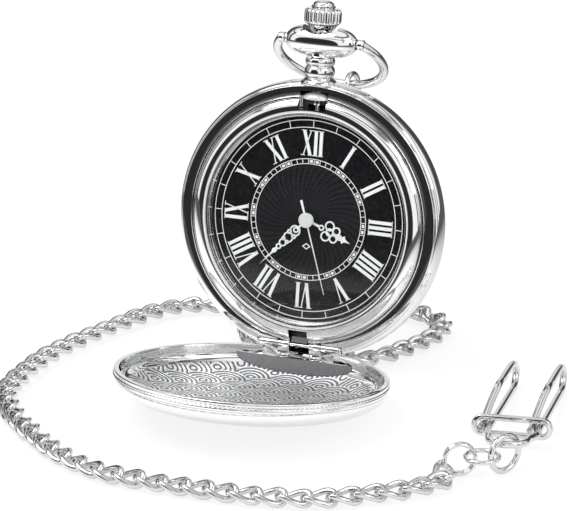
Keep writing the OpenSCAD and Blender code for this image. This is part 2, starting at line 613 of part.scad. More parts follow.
module main_plate() color("darkslategray") placed() difference() {
    union() {
        translate([0, 0, plate_z - plate_t]) cylinder(r = movement_r, h = plate_t);
        translate([0, 0, plate_z - eps]) ring(movement_r, movement_r - 1.2, dial_back - plate_z + eps);
        for (a = [75, 195, 315]) rotate(a) translate([movement_r - 1.1, 0, bridge_z + bridge_t])
            cylinder(r = 0.8, h = plate_z - bridge_z - bridge_t - plate_t + eps);
    }
    translate([0, 0, -8]) cylinder(r = cannon_r + 0.1, h = 10);
    for (p = [third_pos, fifth_pos, rotor_pos]) translate([p[0], p[1], -8]) cylinder(r = arbor_r + 0.03, h = 10);
    translate([cell_pos[0], cell_pos[1], -8]) cylinder(r = cell_d / 2 + 0.1, h = 10);
    pendant() cylinder(r = stem_r + 0.25, h = case_r);
    translate([-0.85, pinion_end - 0.15, pend_z - 1.1]) cube([1.7, 2.5, 3]);
    for (a = [75, 195, 315]) rotate(a) translate([movement_r - 1.1, 0, -8]) cylinder(r = 0.4, h = 5.7);
}

module train_bridge() color("lightgray") placed() difference() {
    translate([0, 0, bridge_z]) linear_extrude(bridge_t) difference() {
        circle(r = movement_r);
        translate(cell_pos) circle(r = cell_d / 2 + 0.25);
    }
    translate([0, 0, -8]) cylinder(r = second_arbor_d / 2 + 0.03, h = 10);
    for (p = [third_pos, fifth_pos, rotor_pos]) translate([p[0], p[1], -8]) cylinder(r = arbor_r + 0.03, h = 10);
    for (a = [75, 195, 315]) rotate(a) translate([movement_r - 1.1, 0, -8]) cylinder(r = 0.45, h = 10);
}

module hour_wheel() color("goldenrod") placed() difference() {
    union() {
        translate([0, 0, motion_z]) tooth_disc(hour_t, hour_m, 0.25);
        translate([0, 0, motion_z]) cylinder(r = hour_pipe_r, h = hour_z + hand_t - motion_z);
    }
    translate([0, 0, -8]) cylinder(r = cannon_r + run_gap, h = 12);
}

module minute_wheel() color("goldenrod") placed() translate([minute_pos[0], minute_pos[1], 0]) difference() {
    union() {
        translate([0, 0, motion_z - 0.4]) rotate(5) tooth_disc(minute_t, cannon_m, 0.25);
        translate([0, 0, motion_z - 0.15 - eps]) rotate(-90 + 18) tooth_disc(minute_p, hour_m, 0.4);
    }
    translate([0, 0, -5]) cylinder(r = 0.2, h = 5);
}

module centre_wheel() color("goldenrod") placed() difference() {
    union() {
        translate([0, 0, centre_z]) tooth_disc(centre_t, third_m, wheel_t);
        translate([0, 0, centre_z]) cylinder(r = cannon_r, h = minute_z + hand_t - centre_z);
        translate([0, 0, motion_z - 0.4]) rotate(-90 + 15) tooth_disc(cannon_t, cannon_m, 0.3);
    }
    translate([0, 0, -8]) cylinder(r = second_arbor_d / 2 + run_gap, h = 12);
}

module third_wheel() color("goldenrod") placed() translate([third_pos[0], third_pos[1], 0]) {
    translate([0, 0, third_z]) rotate(-30) tooth_disc(third_t, fourth_m, wheel_t);
    translate([0, 0, centre_z - layer + wheel_t - eps]) rotate(150 + 180) tooth_disc(third_p, third_m, layer);
    translate([0, 0, bridge_z + 0.05]) cylinder(r = arbor_r, h = plate_z - bridge_z - 0.1);
}

module fourth_wheel() color("goldenrod") placed() {
    translate([0, 0, fourth_z]) rotate(30) tooth_disc(fourth_t, fifth_m, wheel_t);
    translate([0, 0, fourth_z + wheel_t - eps]) rotate(150 + 22.5) tooth_disc(fourth_p, fourth_m, layer);
    translate([0, 0, bridge_z + 0.05]) cylinder(r = second_arbor_d / 2, h = second_z + hand_t - bridge_z - 0.05);
}

module fifth_wheel() color("goldenrod") placed() translate([fifth_pos[0], fifth_pos[1], 0]) {
    translate([0, 0, fifth_z]) rotate(-60) tooth_disc(fifth_t, rotor_m, wheel_t);
    translate([0, 0, fifth_z + wheel_t - eps]) rotate(210 + 12) tooth_disc(fifth_p, fifth_m, layer);
    translate([0, 0, bridge_z + 0.05]) cylinder(r = arbor_r, h = plate_z - bridge_z - 0.1);
}

module rotor() color("gray") placed() translate([rotor_pos[0], rotor_pos[1], 0]) {
    translate([0, 0, fifth_z]) rotate(120 + 30) tooth_disc(rotor_p, rotor_m, wheel_t + 0.05);
    translate([0, 0, fifth_z + wheel_t + 0.04]) cylinder(r = 0.7, h = 0.6);
    translate([0, 0, bridge_z + 0.05]) cylinder(r = arbor_r, h = plate_z - bridge_z - 0.1);
}

module stator() color("silver") placed() translate([0, 0, fourth_z]) difference() {
    linear_extrude(0.3) union() {
        translate(rotor_pos) circle(r = 1.3);
        translate([rotor_pos[0], rotor_pos[1] - 0.8]) square([coil_x - coil_r - 0.03 - rotor_pos[0], 1.6]);
    }
    translate([rotor_pos[0], rotor_pos[1], -1]) cylinder(r = 0.85, h = 3);
}

module coil() color("peru") placed() translate([coil_x, -coil_l / 2 - 0.4, plate_z - plate_t - coil_r - 0.05])
    rotate([-90, 0, 0]) cylinder(r = coil_r, h = coil_l);

module circuit_board() color("darkgreen") placed() difference() {
    translate([0, 0, plate_z - plate_t - 0.25]) intersection() {
        cylinder(r = movement_r - 0.2, h = 0.2);
        translate([-10.7, centre_t * third_m / 2 + 0.9, 0]) cube([9, 8, 1]);
    }
    translate([-6.5, 6, -5]) cylinder(r = 0.4, h = 5);
}

module quartz_can() color("lightgray") placed() translate([-6, 5.4, plate_z - plate_t - 0.27 - can_r])
    rotate([0, 90, 30]) cylinder(r = can_r, h = 3);

module battery() color("silver") placed() translate([cell_pos[0], cell_pos[1], bridge_z + 0.1])
    cylinder(r = cell_d / 2, h = cell_h);

module battery_strap() color("silver") placed() translate([0, 0, bridge_z - 0.25]) linear_extrude(0.2) union() {
    translate(cell_pos - [3, 0.8]) square([6, 1.6]);
    translate([-9, -5.8]) square([2, 1.6]);
}

module setting_wheel() color("goldenrod") placed() translate([setting_pos[0], setting_pos[1], motion_z - 0.4]) difference() {
    rotate(-90) tooth_disc(setting_t, cannon_m, 0.25);
    translate([0, 0, -1]) cylinder(r = 0.3, h = 3);
}

module sliding_pinion() color("goldenrod") placed() pendant() translate([0, 0, pinion_end])
    ring(0.7, stem_r + 0.02, 2.2);

module setting_lever() color("gray") placed() translate([0, 0, plate_z - plate_t - 0.2]) linear_extrude(0.15)
    polygon([[1.2, 6.6], [2.6, 6.6], [2.6, 8.1], [1.2, 8.1]]);

module movement_screws() color("silver") placed() for (a = [75, 195, 315]) rotate(a)
    translate([movement_r - 1.1, 0, bridge_z - 0.3]) {
        cylinder(r = 0.7, h = 0.3);
        cylinder(r = 0.38, h = 1.5);
    }

// ---- chain and clip ----

function route_at(i) = chain_route[max(0, min(len(chain_route) - 1, i))];
function smooth(p, q, r, s, t) = 0.5 * (2 * q + (r - p) * t + (2 * p - 5 * q + 4 * r - s) * t * t
    + (3 * q - p - 3 * r + s) * t * t * t);
chain_path = concat([for (i = [0:len(chain_route) - 2]) for (k = [0:chain_steps - 1])
    smooth(route_at(i - 1), route_at(i), route_at(i + 1), route_at(i + 2), k / chain_steps)],
    [chain_route[len(chain_route) - 1]]);
function unit(v) = v / norm(v);
function heading(path, i) = unit(path[min(len(path) - 1, i + 1)] - path[max(0, i - 1)]);
function side_of(h) = abs(h[2]) > 0.8 ? unit(cross(h, [0, 1, 0])) : unit(cross(h, [0, 0, 1]));
function sides(path, i) = i == 0 ? [side_of(heading(path, 0))] :
    let (done = sides(path, i - 1), h = heading(path, i), last = done[i - 1])
        concat(done, [unit(last - h * (last * h))]);
module swept(path, r, n) {
    side = sides(path, len(path) - 1);
    rings = [for (i = [0:len(path) - 1]) let (h = heading(path, i), u = side[i], v = cross(h, u))
        for (k = [0:n - 1]) path[i] + r * (cos(360 * k / n + 22.5) * u + sin(360 * k / n + 22.5) * v)];
    last = (len(path) - 1) * n;
    polyhedron(rings, concat([[for (k = [0:n - 1]) k]], [[for (k = [n - 1:-1:0]) last + k]],
        [for (i = [0:len(path) - 2]) for (k = [0:n - 1])
            [i * n + k, (i + 1) * n + k, (i + 1) * n + (k + 1) % n, i * n + (k + 1) % n]]));
}

module chain() color("silver") swept(chain_path, chain_d / 2, chain_sides);

module flat_ring(r, wire) rotate_extrude() translate([r, 0]) circle(r = wire / 2);

module end_link() color("silver") translate(clip_shift + [39.4, -22, 2.9]) rotate([90, 0, 30]) flat_ring(2.4, jump_wire_d);

module link_ring() color("silver") translate(clip_shift + [42.4, -20.25, 3]) flat_ring(2.6, 0.7);

module jump_ring() color("silver") translate(clip_shift + jump_at) rotate([90, 0, 60]) flat_ring(jump_r, jump_wire_d);

module clip_placed() translate(clip_shift + clip_at) rotate([0, 0, clip_turn]) rotate([-clip_dip, 0, 0]) children();
clip_prong = [[-1.2, 3, 0.15], [-1.2, 5, 0.15], [-1.2, 6.8, 0.35], [-1, 8.5, 1.4], [-0.5, 11, 3.2],
    [0, 13.5, clip_jaw], [0, 17, clip_jaw], [0, clip_l - 6, clip_jaw - 0.1], [0, clip_l - 2, clip_jaw - 0.5],
    [0, clip_l + 0.4, clip_jaw - 1.5], [0, clip_l + 1.2, clip_jaw / 2], [0, clip_l + 0.6, 0.8],
    [0, clip_l - 1.2, 0], [0, clip_l - 5, 0], [0, 18, 0], [0, 13, 0], [0, 8, 0], [0, 3.5, 0], [0, 1.2, 0]];
clip_bend = [[clip_gap / 2 - 0.4, 0, 0], [clip_gap / 2 - 0.8, -1.2, 0], [3, -2.4, 0], [2.8, -3.5, 0],
    [1.9, -4.7, 0], [0, -5.3, 0]];
clip_path = concat([for (p = clip_prong) p - [clip_gap / 2, 0, 0]],
    [for (p = clip_bend) [-p[0], p[1], p[2]]],
    [for (i = [len(clip_bend) - 2:-1:0]) clip_bend[i]],
    [for (i = [len(clip_prong) - 1:-1:0]) clip_prong[i] + [clip_gap / 2, 0, 0]]);
module clip_wire() color("silver") clip_placed() swept(clip_path, clip_r, 12);

// the slider is a flat oval ring round both prongs
slider_in = clip_gap / 2 + 0.6;
slider_h = clip_wire_d / 2 + 0.25;
slider_w = 0.9;
module slider_shape(r) hull() for (x = [-slider_in - 0.65, slider_in - 0.25]) translate([x, 0]) circle(r = r, $fn = 32);
module clip_slider() color("silver") clip_placed() translate([0, slider_y, 0.05]) rotate([90, 0, 0])
    linear_extrude(1.1, center = true) difference() {
        slider_shape(slider_h + slider_w);
        slider_shape(slider_h);
    }

mid_case();
bezel();
crystal();
crystal_gasket();
rehaut();
back_cover();
back_gasket();
pendant_neck();
bow_collar();
push_sleeve();
winding_stem();
crown();
crown_cap();
bow();
bow_link();
cover_catch();
catch_spring();
hinge_tubes();
hinge_pin();
lift_spring();
cover_rim();
cover_shell();
cover_hinge_plate();
dial();
dial_print();
hour_hand();
minute_hand();
second_hand();
hand_cap();
movement_ring();
main_plate();
train_bridge();
hour_wheel();
minute_wheel();
centre_wheel();
third_wheel();
fourth_wheel();
fifth_wheel();
rotor();
stator();
coil();
circuit_board();
quartz_can();
battery();
battery_strap();
setting_wheel();
sliding_pinion();
setting_lever();
movement_screws();
chain();
end_link();
link_ring();
jump_ring();
clip_wire();
clip_slider();
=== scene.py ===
import json
import math
import random
from contextlib import contextmanager

import bpy
from mathutils import Matrix, Vector


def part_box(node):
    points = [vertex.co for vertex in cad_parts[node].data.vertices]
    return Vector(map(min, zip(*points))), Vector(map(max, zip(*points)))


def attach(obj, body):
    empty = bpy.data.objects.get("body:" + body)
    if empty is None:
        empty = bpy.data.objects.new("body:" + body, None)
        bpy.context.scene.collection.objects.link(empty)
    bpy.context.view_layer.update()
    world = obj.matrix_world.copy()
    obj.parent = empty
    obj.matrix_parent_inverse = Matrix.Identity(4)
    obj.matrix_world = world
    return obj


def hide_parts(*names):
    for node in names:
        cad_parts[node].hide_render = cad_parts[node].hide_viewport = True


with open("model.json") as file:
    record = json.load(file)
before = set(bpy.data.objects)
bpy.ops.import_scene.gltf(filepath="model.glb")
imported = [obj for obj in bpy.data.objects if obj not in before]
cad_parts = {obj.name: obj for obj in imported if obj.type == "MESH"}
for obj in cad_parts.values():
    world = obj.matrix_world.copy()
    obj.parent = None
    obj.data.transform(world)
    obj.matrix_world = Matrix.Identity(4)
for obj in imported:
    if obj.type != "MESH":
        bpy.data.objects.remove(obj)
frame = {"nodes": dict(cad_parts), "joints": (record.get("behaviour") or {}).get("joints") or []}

bl_info = {
    "name": "Pocket Watch Builder",
    "version": (1, 0, 0),
    "blender": (4, 5, 0),
    "location": "3D View > Sidebar > Watch",
    "description": "Models a hunter-cased pocket watch, its chain and its clip around the packed frame",
    "category": "Object",
}

MM = 0.001


def shift(x, y=0, z=0):
    return Matrix.Translation((x, y, z))


def turn(degrees, axis):
    return Matrix.Rotation(math.radians(degrees), 4, axis)


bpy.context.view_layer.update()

# ---- where the watch stands, from the frame; matrices are in millimetres ----

JOINTS = {joint["name"]: joint for joint in frame["joints"]}
DIAL_OUT = -Vector(JOINTS["second_spin"]["axis"])
LEAN = math.atan2(DIAL_OUT.z, -DIAL_OUT.y)
DIAL_MID = -0.8                    # height of the dial's middle, from the parting face
dial_low, dial_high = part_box("dial")
FACE = (dial_low + dial_high) / 2 / MM - DIAL_OUT * DIAL_MID
HINGE_Y, HINGE_Z = -21.05, -0.55
COVER_OPEN = 90.8
PENDANT_Z = -1.8
COLLAR_Y = 29.36
CASE = Matrix.Translation(FACE) @ Matrix.Rotation(math.pi / 2 - LEAN, 4, "X")
COVER = CASE @ shift(0, HINGE_Y, HINGE_Z) @ turn(COVER_OPEN, "X") @ shift(0, -HINGE_Y, -HINGE_Z)
PENDANT = CASE @ shift(0, 0, PENDANT_Z) @ turn(-90, "X")
BOW_DROP = 34
BOW = CASE @ shift(0, COLLAR_Y, PENDANT_Z) @ turn(-90 - BOW_DROP, "X")
CLIP = shift(44.5, -13.1, 4.15) @ turn(9.8, "Z") @ turn(-6.6, "X")
ON_FLOOR = Matrix.Identity(4)

# The chain's route, from its end ring to the bow, in metres
CHAIN_ROUTE = [Vector(p) * MM for p in (
    (37.5, -23.6, 1.8), (38.6, -27.5, 1.5), (36, -32, 1.5), (31.5, -36, 1.5), (23.5, -41.5, 1.5),
    (14, -44, 1.5), (6, -44.5, 1.5), (-3, -44.5, 1.5), (-11.5, -43.5, 1.5), (-20, -39.5, 1.5),
    (-28, -33, 1.5), (-34, -27, 1.5), (-39, -19.5, 1.5), (-40.5, -11, 1.5), (-40.5, -2, 1.5),
    (-39, 6.5, 1.5), (-36, 16.5, 1.5), (-32.5, 25.5, 1.5), (-27.5, 31, 1.5), (-21, 32, 1.5),
    (-16, 26.5, 1.5), (-12, 19.5, 1.5), (-6, 15.9, 1.5), (0, 15.6, 1.5), (6, 15.9, 1.5), (11, 19, 1.5),
    (14, 25, 1.5), (16, 31, 1.5), (15.5, 37, 1.5), (11, 41, 1.5), (5.5, 40.04, 1.5), (2.5, 36.54, 3),
    (1.2, 33.04, 8.09), (1, 32.04, 15.97), (1, 32.04, 25.07), (1, 32.04, 32.95), (1, 32.04, 40.43))]

# The camera looks at the middle of the parting face; angles in degrees, distance in millimetres
CAMERA_AZIMUTH, CAMERA_ELEVATION, CAMERA_DISTANCE = 21.53, 18.38, 600
CAMERA_TURN = turn(CAMERA_AZIMUTH, "Z") @ turn(90 - CAMERA_ELEVATION, "X")
LENS, SHIFT_X, SHIFT_Y = 231.9, -0.0389, -0.0623


# ---- sizes and colours that a user may change ----

class WatchSizes(bpy.types.PropertyGroup):
    link_length: bpy.props.FloatProperty(
        name="Link length", description="Length of one curb link of the chain",
        default=6.0 * MM, min=0.004, max=0.009, unit="LENGTH")
    link_width: bpy.props.FloatProperty(
        name="Link width", description="Width of one curb link of the chain",
        default=4.1 * MM, min=0.003, max=0.005, unit="LENGTH")
    link_wire: bpy.props.FloatProperty(
        name="Link wire", description="Diameter of the chain's wire",
        default=1.1 * MM, min=0.0008, max=0.0013, unit="LENGTH")
    medallion: bpy.props.FloatProperty(
        name="Engine-turned shell", description="Width of one shell of the pattern inside the cover",
        default=6.0 * MM, min=0.003, max=0.008, unit="LENGTH")
    flute_depth: bpy.props.FloatProperty(
        name="Flute depth", description="Depth of the flutes round the crown",
        default=0.42 * MM, min=0.0002, max=0.0006, unit="LENGTH")


class WatchColours(bpy.types.PropertyGroup):
    chrome: bpy.props.FloatVectorProperty(
        name="Chrome", description="Colour of the polished case",
        default=(0.88, 0.885, 0.89), size=3, min=0, max=1, subtype="COLOR")
    dial: bpy.props.FloatVectorProperty(
        name="Dial", description="Colour of the dial's lacquer",
        default=(0.009, 0.009, 0.01), size=3, min=0, max=1, subtype="COLOR")
    marks: bpy.props.FloatVectorProperty(
        name="Marks", description="Colour of the numerals, circles and hands",
        default=(0.93, 0.93, 0.92), size=3, min=0, max=1, subtype="COLOR")
    floor: bpy.props.FloatVectorProperty(
        name="Floor", description="Colour of the surface that the watch stands on",
        default=(0.94, 0.94, 0.94), size=3, min=0, max=1, subtype="COLOR")


def sizes():
    return bpy.context.scene.watch_sizes


def colours():
    return bpy.context.scene.watch_colours


# ---- shader maths ----

class Value:
    """A socket whose arithmetic adds Math nodes to its tree."""

    def __init__(self, tree, socket):
        self.tree, self.socket = tree, socket

    def maths(self, operation, *values, clamp=False):
        return self.tree.node("ShaderNodeMath", {"operation": operation, "use_clamp": clamp},
                              dict(enumerate(values)))

    def sine(self): return self.maths("SINE", self)
    def floor(self): return self.maths("FLOOR", self)
    def root(self): return self.maths("SQRT", self)
    def size(self): return self.maths("ABSOLUTE", self)
    def clamped(self): return self.maths("ADD", self, 0.0, clamp=True)
    def bearing(self, other): return self.maths("ARCTAN2", self, other)
    def larger(self, other): return self.maths("MAXIMUM", self, other)


def arithmetic(operation, swapped=False):
    def method(self, other):
        return self.maths(operation, *((other, self) if swapped else (self, other)))
    return method


for sign, operation in (("add", "ADD"), ("sub", "SUBTRACT"), ("mul", "MULTIPLY"), ("truediv", "DIVIDE")):
    setattr(Value, f"__{sign}__", arithmetic(operation))
    setattr(Value, f"__r{sign}__", arithmetic(operation, swapped=True))
Value.__pow__ = arithmetic("POWER")
Value.__lt__ = arithmetic("LESS_THAN")


class Tree:
    """A node tree being written: one method adds any node."""

    def __init__(self, nodes):
        self.nodes = nodes
        nodes.nodes.clear()

    def node(self, kind, settings=None, inputs=None, output=0):
        made = self.nodes.nodes.new(kind)
        for name, value in (settings or {}).items():
            setattr(made, name, value)
        for name, value in (inputs or {}).items():
            if value is None:
                continue
            if isinstance(value, Value):
                self.nodes.links.new(value.socket, made.inputs[name])
            else:
                made.inputs[name].default_value = value
        return Value(self, made.outputs[output]) if len(made.outputs) else None

    def smooth_step(self, value, low, high, to_low=0.0, to_high=1.0):
        return self.node("ShaderNodeMapRange", {"interpolation_type": "SMOOTHSTEP"}, {
            "Value": value, "From Min": low, "From Max": high, "To Min": to_low, "To Max": to_high})

    def mixed(self, factor, first, second):
        return self.node("ShaderNodeMix", {"data_type": "RGBA"}, {0: factor, 6: first, 7: second}, 2)

    def parts(self, vector):
        made = self.node("ShaderNodeSeparateXYZ", None, {0: vector}).socket.node
        return [Value(self, socket) for socket in made.outputs]


class Finish(Tree):
    """A material on a Principled shader, with patterns on object coordinates."""

    def __init__(self, name, colour, metallic=0.0, roughness=0.5, coat=0.0):
        self.material = bpy.data.materials.new(name)
        self.material.use_nodes = True
        super().__init__(self.material.node_tree)
        self.shader = self.node("ShaderNodeBsdfPrincipled").socket.node
        self.node("ShaderNodeOutputMaterial", None, {"Surface": Value(self, self.shader.outputs[0])})
        self.set("Base Color", (*colour, 1) if len(colour) == 3 else colour)
        self.set("Metallic", metallic)
        self.set("Roughness", roughness)
        self.set("Coat Weight", coat)
        self.coordinates = self.node("ShaderNodeTexCoord", None, None, 3)

    def set(self, name, value):
        if isinstance(value, Value):
            self.nodes.links.new(value.socket, self.shader.inputs[name])
        else:
            self.shader.inputs[name].default_value = value

    def local(self, place):
        """Millimetres in a part's own frame, from its place."""
        back = place.inverted()
        return self.node("ShaderNodeMapping", None, {
            "Vector": self.coordinates, "Scale": (1 / MM,) * 3,
            "Rotation": back.to_euler(), "Location": back.translation})

    def noise(self, scale, detail=2.0, stretch=None):
        vector = self.coordinates
        if stretch:
            vector = self.node("ShaderNodeMapping", None, {"Vector": vector, "Scale": stretch})
        return self.node("ShaderNodeTexNoise", None, {"Vector": vector, "Scale": scale, "Detail": detail})

    def relief(self, height, depth):
        """Bump of a height from 0 to 1 and a real depth in millimetres."""
        self.set("Normal", self.node("ShaderNodeBump", None, {
            "Height": height, "Strength": 1.0, "Distance": depth * MM}, 0))


def polished(name, colour, roughness=0.035, wave=0.006):
    """Mirror-polished plate: faint smears in the gloss, and a surface not quite flat."""
    finish = Finish(name, colour, metallic=1.0)
    smear = finish.noise(700, 3)
    hair = finish.noise(1, 2, (9000, 900, 2600))
    finish.set("Roughness", roughness + 0.05 * (smear - 0.45).clamped() + 0.02 * hair)
    finish.relief(finish.noise(170, 1) + 0.02 * hair, wave)
    return finish.material


def engine_turned(name, colour, place, pitch):
    """Rows of overlapping shells of concentric arcs, cut into a polished sheet."""
    finish = Finish(name, colour, metallic=0.55)
    reach, arcs = pitch * 0.56, 4.3         # a shell's radius, and how many arcs it shows
    across, along, _ = finish.parts(finish.local(place))
    rise = pitch / 2
    radius = None
    for step in (-1, 0, 1, 2):
        row = (along / rise).floor() + float(step)
        odd = row - 2.0 * (row / 2.0).floor()
        x = across / pitch + 0.5 * odd
        dx = (x - x.floor() - 0.5) * pitch
        dy = along - row * rise
        here = (dx * dx + dy * dy).root()
        if radius is None:
            radius = here
        else:
            covers = here < reach
            radius = radius + covers * (here - radius)
    ring = (radius * (2 * math.pi * arcs / reach)).sine() * 0.5 + 0.5
    smear = finish.noise(500, 3)
    groove = (1.0 - ring) ** 1.4
    finish.set("Roughness", 0.14 + 0.16 * groove + 0.06 * (smear - 0.4).clamped())
    # painted shade: the grooves between the arcs are painted near black, standing in for their shade
    dark = (colour[0] * 0.05, colour[1] * 0.05, colour[2] * 0.055)
    finish.set("Base Color", finish.mixed(groove.clamped(), (*colour, 1), (*dark, 1)))
    finish.relief(ring, 0.06)
    return finish.material


def sunray_lacquer(name, colour, place):
    """Black lacquer over curved rays and fine rings cut in the dial."""
    finish = Finish(name, colour, roughness=0.22, coat=0.1)
    finish.set("IOR", 1.25)
    finish.set("Coat Roughness", 0.04)
    x, y, _ = finish.parts(finish.local(place))
    radius = (x * x + y * y).root()
    rays = (y.bearing(x) * 48.0 + radius * 2.6).sine() * 0.5 + 0.5
    rings = (radius * 9.5).sine() * 0.5 + 0.5
    middle = radius < 9.0
    cut = middle * (0.75 * rays + 0.25 * rings)
    finish.set("Roughness", 0.24 + 0.14 * cut + 0.06 * finish.noise(900, 2))
    # painted sheen: the cut rays and rings in the middle are painted a lighter grey, standing in for the
    # light they catch
    finish.set("Base Color", finish.mixed((0.5 * cut).clamped(), (*colour, 1), (0.03, 0.031, 0.033, 1)))
    finish.relief(cut, 0.012)
    return finish.material


def lacquered(name, colour, roughness=0.3):
    finish = Finish(name, colour, coat=0.4)
    speck = finish.noise(4200, 2)
    finish.set("Roughness", roughness + 0.12 * (speck - 0.4))
    shade = tuple(c * 0.93 for c in colour)
    finish.set("Base Color", finish.mixed(finish.noise(1300, 2), (*colour, 1), (*shade, 1)))
    finish.relief(speck, 0.004)
    return finish.material


def brushed(name, colour, stretch, roughness=0.28, metallic=1.0):
    """Turned or brushed metal with fine lines; with metallic below 1, part of it is matt and pale."""
    finish = Finish(name, colour, metallic=metallic)
    lines = finish.noise(1, 3, stretch)
    finish.set("Roughness", roughness + 0.16 * (lines - 0.4))
    dark = tuple(c * 0.72 for c in colour)
    finish.set("Base Color", finish.mixed(lines, (*colour, 1), (*dark, 1)))
    finish.relief(lines, 0.006)
    return finish.material


def moulded(name, colour, roughness=0.5, grain=2500):
    finish = Finish(name, colour)
    speck = finish.noise(grain, 3)
    finish.set("Roughness", roughness + 0.2 * (speck - 0.5))
    dark = tuple(c * 0.85 for c in colour)
    finish.set("Base Color", finish.mixed(speck, (*colour, 1), (*dark, 1)))
    finish.relief(speck, 0.01)
    return finish.material


def wound(name, colour):
    """Rows of enamelled wire round the coil."""
    finish = Finish(name, colour, metallic=0.6, coat=0.5)
    _, y, z = finish.parts(finish.local(CASE))
    turns = (y * 60.0).sine() * 0.5 + 0.5
    finish.set("Roughness", 0.25 + 0.2 * turns)
    # painted shade: the valleys between the rows of wire are painted at half the colour
    finish.set("Base Color", finish.mixed(turns, (*(c * 0.5 for c in colour), 1), (*colour, 1)))
    finish.relief(turns, 0.03)
    return finish.material


def clear_glass(name):
    """A mineral crystal: it lets light through and shines at a glancing view."""
    material = bpy.data.materials.new(name)
    material.use_nodes = True
    tree = Tree(material.node_tree)
    clear = tree.node("ShaderNodeBsdfTransparent", None, {"Color": (0.985, 0.99, 0.995, 1)})
    gloss = tree.node("ShaderNodeBsdfPrincipled", None, {
        "Base Color": (1, 1, 1, 1), "Metallic": 1.0, "Roughness": 0.02})
    edge = 0.025 + 0.5 * tree.node("ShaderNodeLayerWeight", None, {"Blend": 0.5}, 1) ** 5.0
    both = tree.node("ShaderNodeMixShader", None, {0: edge, 1: clear, 2: gloss})
    tree.node("ShaderNodeOutputMaterial", None, {"Surface": both})
    return material


FINISHES = {}


def finish_for(key):
    """Each finish is made once, when a piece first needs it."""
    if key in FINISHES:
        return FINISHES[key]
    chrome = tuple(colours().chrome)
    # painted shade: the chain and the wires get the chrome darkened, standing in for their shade
    chain_painted_shade = tuple(c * 0.76 for c in chrome)
    marks = tuple(colours().marks)
    makers = {
        "chrome": lambda: polished("polished_chrome", chrome),
        "chain": lambda: polished("chain_chrome_painted_shade", chain_painted_shade, 0.07, 0.012),
        "wire": lambda: polished("wire_chrome_painted_shade", tuple(c * 0.84 for c in chrome), 0.05, 0.012),
        "engine_turned": lambda: engine_turned("engine_turned_sheet", chrome, COVER, sizes().medallion / MM),
        "satin": lambda: brushed("satin_sheet", (0.5, 0.505, 0.515), (2600, 60, 60), 0.2),
        "dial": lambda: sunray_lacquer("black_lacquer", tuple(colours().dial), CASE),
        "white": lambda: lacquered("white_lacquer", marks),
        "catch": lambda: brushed("satin_catch", (0.93, 0.93, 0.93), (300, 300, 5000), 0.2, 0.45),
        # painted shade: a near-black finish for the recess walls and the catch's base and tab, standing in
        # for their shade
        "recess_shade": lambda: brushed("recess_painted_shade", (0.05, 0.05, 0.055), (900, 9000, 900), 0.3),
        "hub": lambda: lacquered("pale_hub", (0.72, 0.72, 0.71), 0.35),
        "glass": lambda: clear_glass("mineral_crystal"),
        "brass": lambda: brushed("turned_brass", (0.8, 0.62, 0.3), (5000, 5000, 900)),
        "steel": lambda: brushed("brushed_steel", (0.62, 0.62, 0.64), (900, 9000, 900)),
        "cell": lambda: brushed("cell_steel", (0.75, 0.75, 0.76), (3000, 3000, 3000), 0.3),
        "rubber": lambda: moulded("gasket_rubber", (0.16, 0.16, 0.165), 0.7),
        "clear_seal": lambda: moulded("crystal_seal", (0.82, 0.82, 0.8), 0.35),
        # painted shade: the holder is near black so that the window at twelve shows dark
        "holder": lambda: moulded("moulded_holder", (0.07, 0.07, 0.075), 0.5),
        "plate": lambda: moulded("movement_plate", (0.1, 0.11, 0.12), 0.45),
        "board": lambda: moulded("solder_mask", (0.03, 0.2, 0.09), 0.3, 5000),
        "copper": lambda: wound("enamelled_wire", (0.7, 0.32, 0.12)),
    }
    FINISHES[key] = makers[key]()
    return FINISHES[key]


# ---- modelling helpers; everything is drawn in millimetres and then put in its place ----

def select_only(*objects):
    if bpy.context.object and bpy.context.object.mode != "OBJECT":
        bpy.ops.object.mode_set(mode="OBJECT")
    bpy.ops.object.select_all(action="DESELECT")
    for obj in objects:
        obj.select_set(True)
    if objects:
        bpy.context.view_layer.objects.active = objects[0]


@contextmanager
def editing(obj):
    select_only(obj)
    bpy.ops.object.mode_set(mode="EDIT")
    bpy.ops.mesh.select_all(action="SELECT")
    yield
    bpy.ops.object.mode_set(mode="OBJECT")


def closed_up(obj):
    with editing(obj):
        bpy.ops.mesh.remove_doubles(threshold=0.0004)
        bpy.ops.mesh.delete_loose()
        bpy.ops.mesh.select_all(action="SELECT")
        bpy.ops.mesh.normals_make_consistent(inside=False)
    return obj


def turned(outline, steps=128):
    """An outline of (radius, height) corners, turned about Z into a closed solid."""
    select_only()
    bpy.ops.mesh.primitive_circle_add(vertices=len(outline), radius=1)
    obj = bpy.context.object
    for vertex, (radius, height) in zip(obj.data.vertices, outline):
        vertex.co = (radius, 0, height)
    with editing(obj):
        bpy.ops.mesh.spin(steps=steps, angle=2 * math.pi, center=(0, 0, 0), axis=(0, 0, 1))
    return closed_up(obj)


def soften(outline, radius=0.06, steps=3):
    """The outline with its sharp corners rounded, so that each edge catches light."""
    made = []
    count = len(outline)
    for i, corner in enumerate(outline):
        here = Vector(corner)
        if here.x < 1e-6:
            made.append(tuple(here))
            continue
        before = Vector(outline[i - 1]) - here
        after = Vector(outline[(i + 1) % count]) - here
        if min(before.length, after.length) < 1e-6 or math.pi - before.angle(after) < math.radians(14):
            made.append(tuple(here))
            continue
        reach = min(radius, 0.4 * before.length, 0.4 * after.length)
        start, end = here + before.normalized() * reach, here + after.normalized() * reach
        for k in range(steps + 1):
            t = k / steps
            made.append(tuple(start * (1 - t) ** 2 + here * 2 * t * (1 - t) + end * t * t))
    return made


def arc(centre_r, centre_z, half_r, half_z, start, end, steps=12):
    """Points of an ellipse's arc, in degrees from the radial direction."""
    return [(centre_r + half_r * math.cos(math.radians(start + (end - start) * k / steps)),
             centre_z + half_z * math.sin(math.radians(start + (end - start) * k / steps)))
            for k in range(steps + 1)]


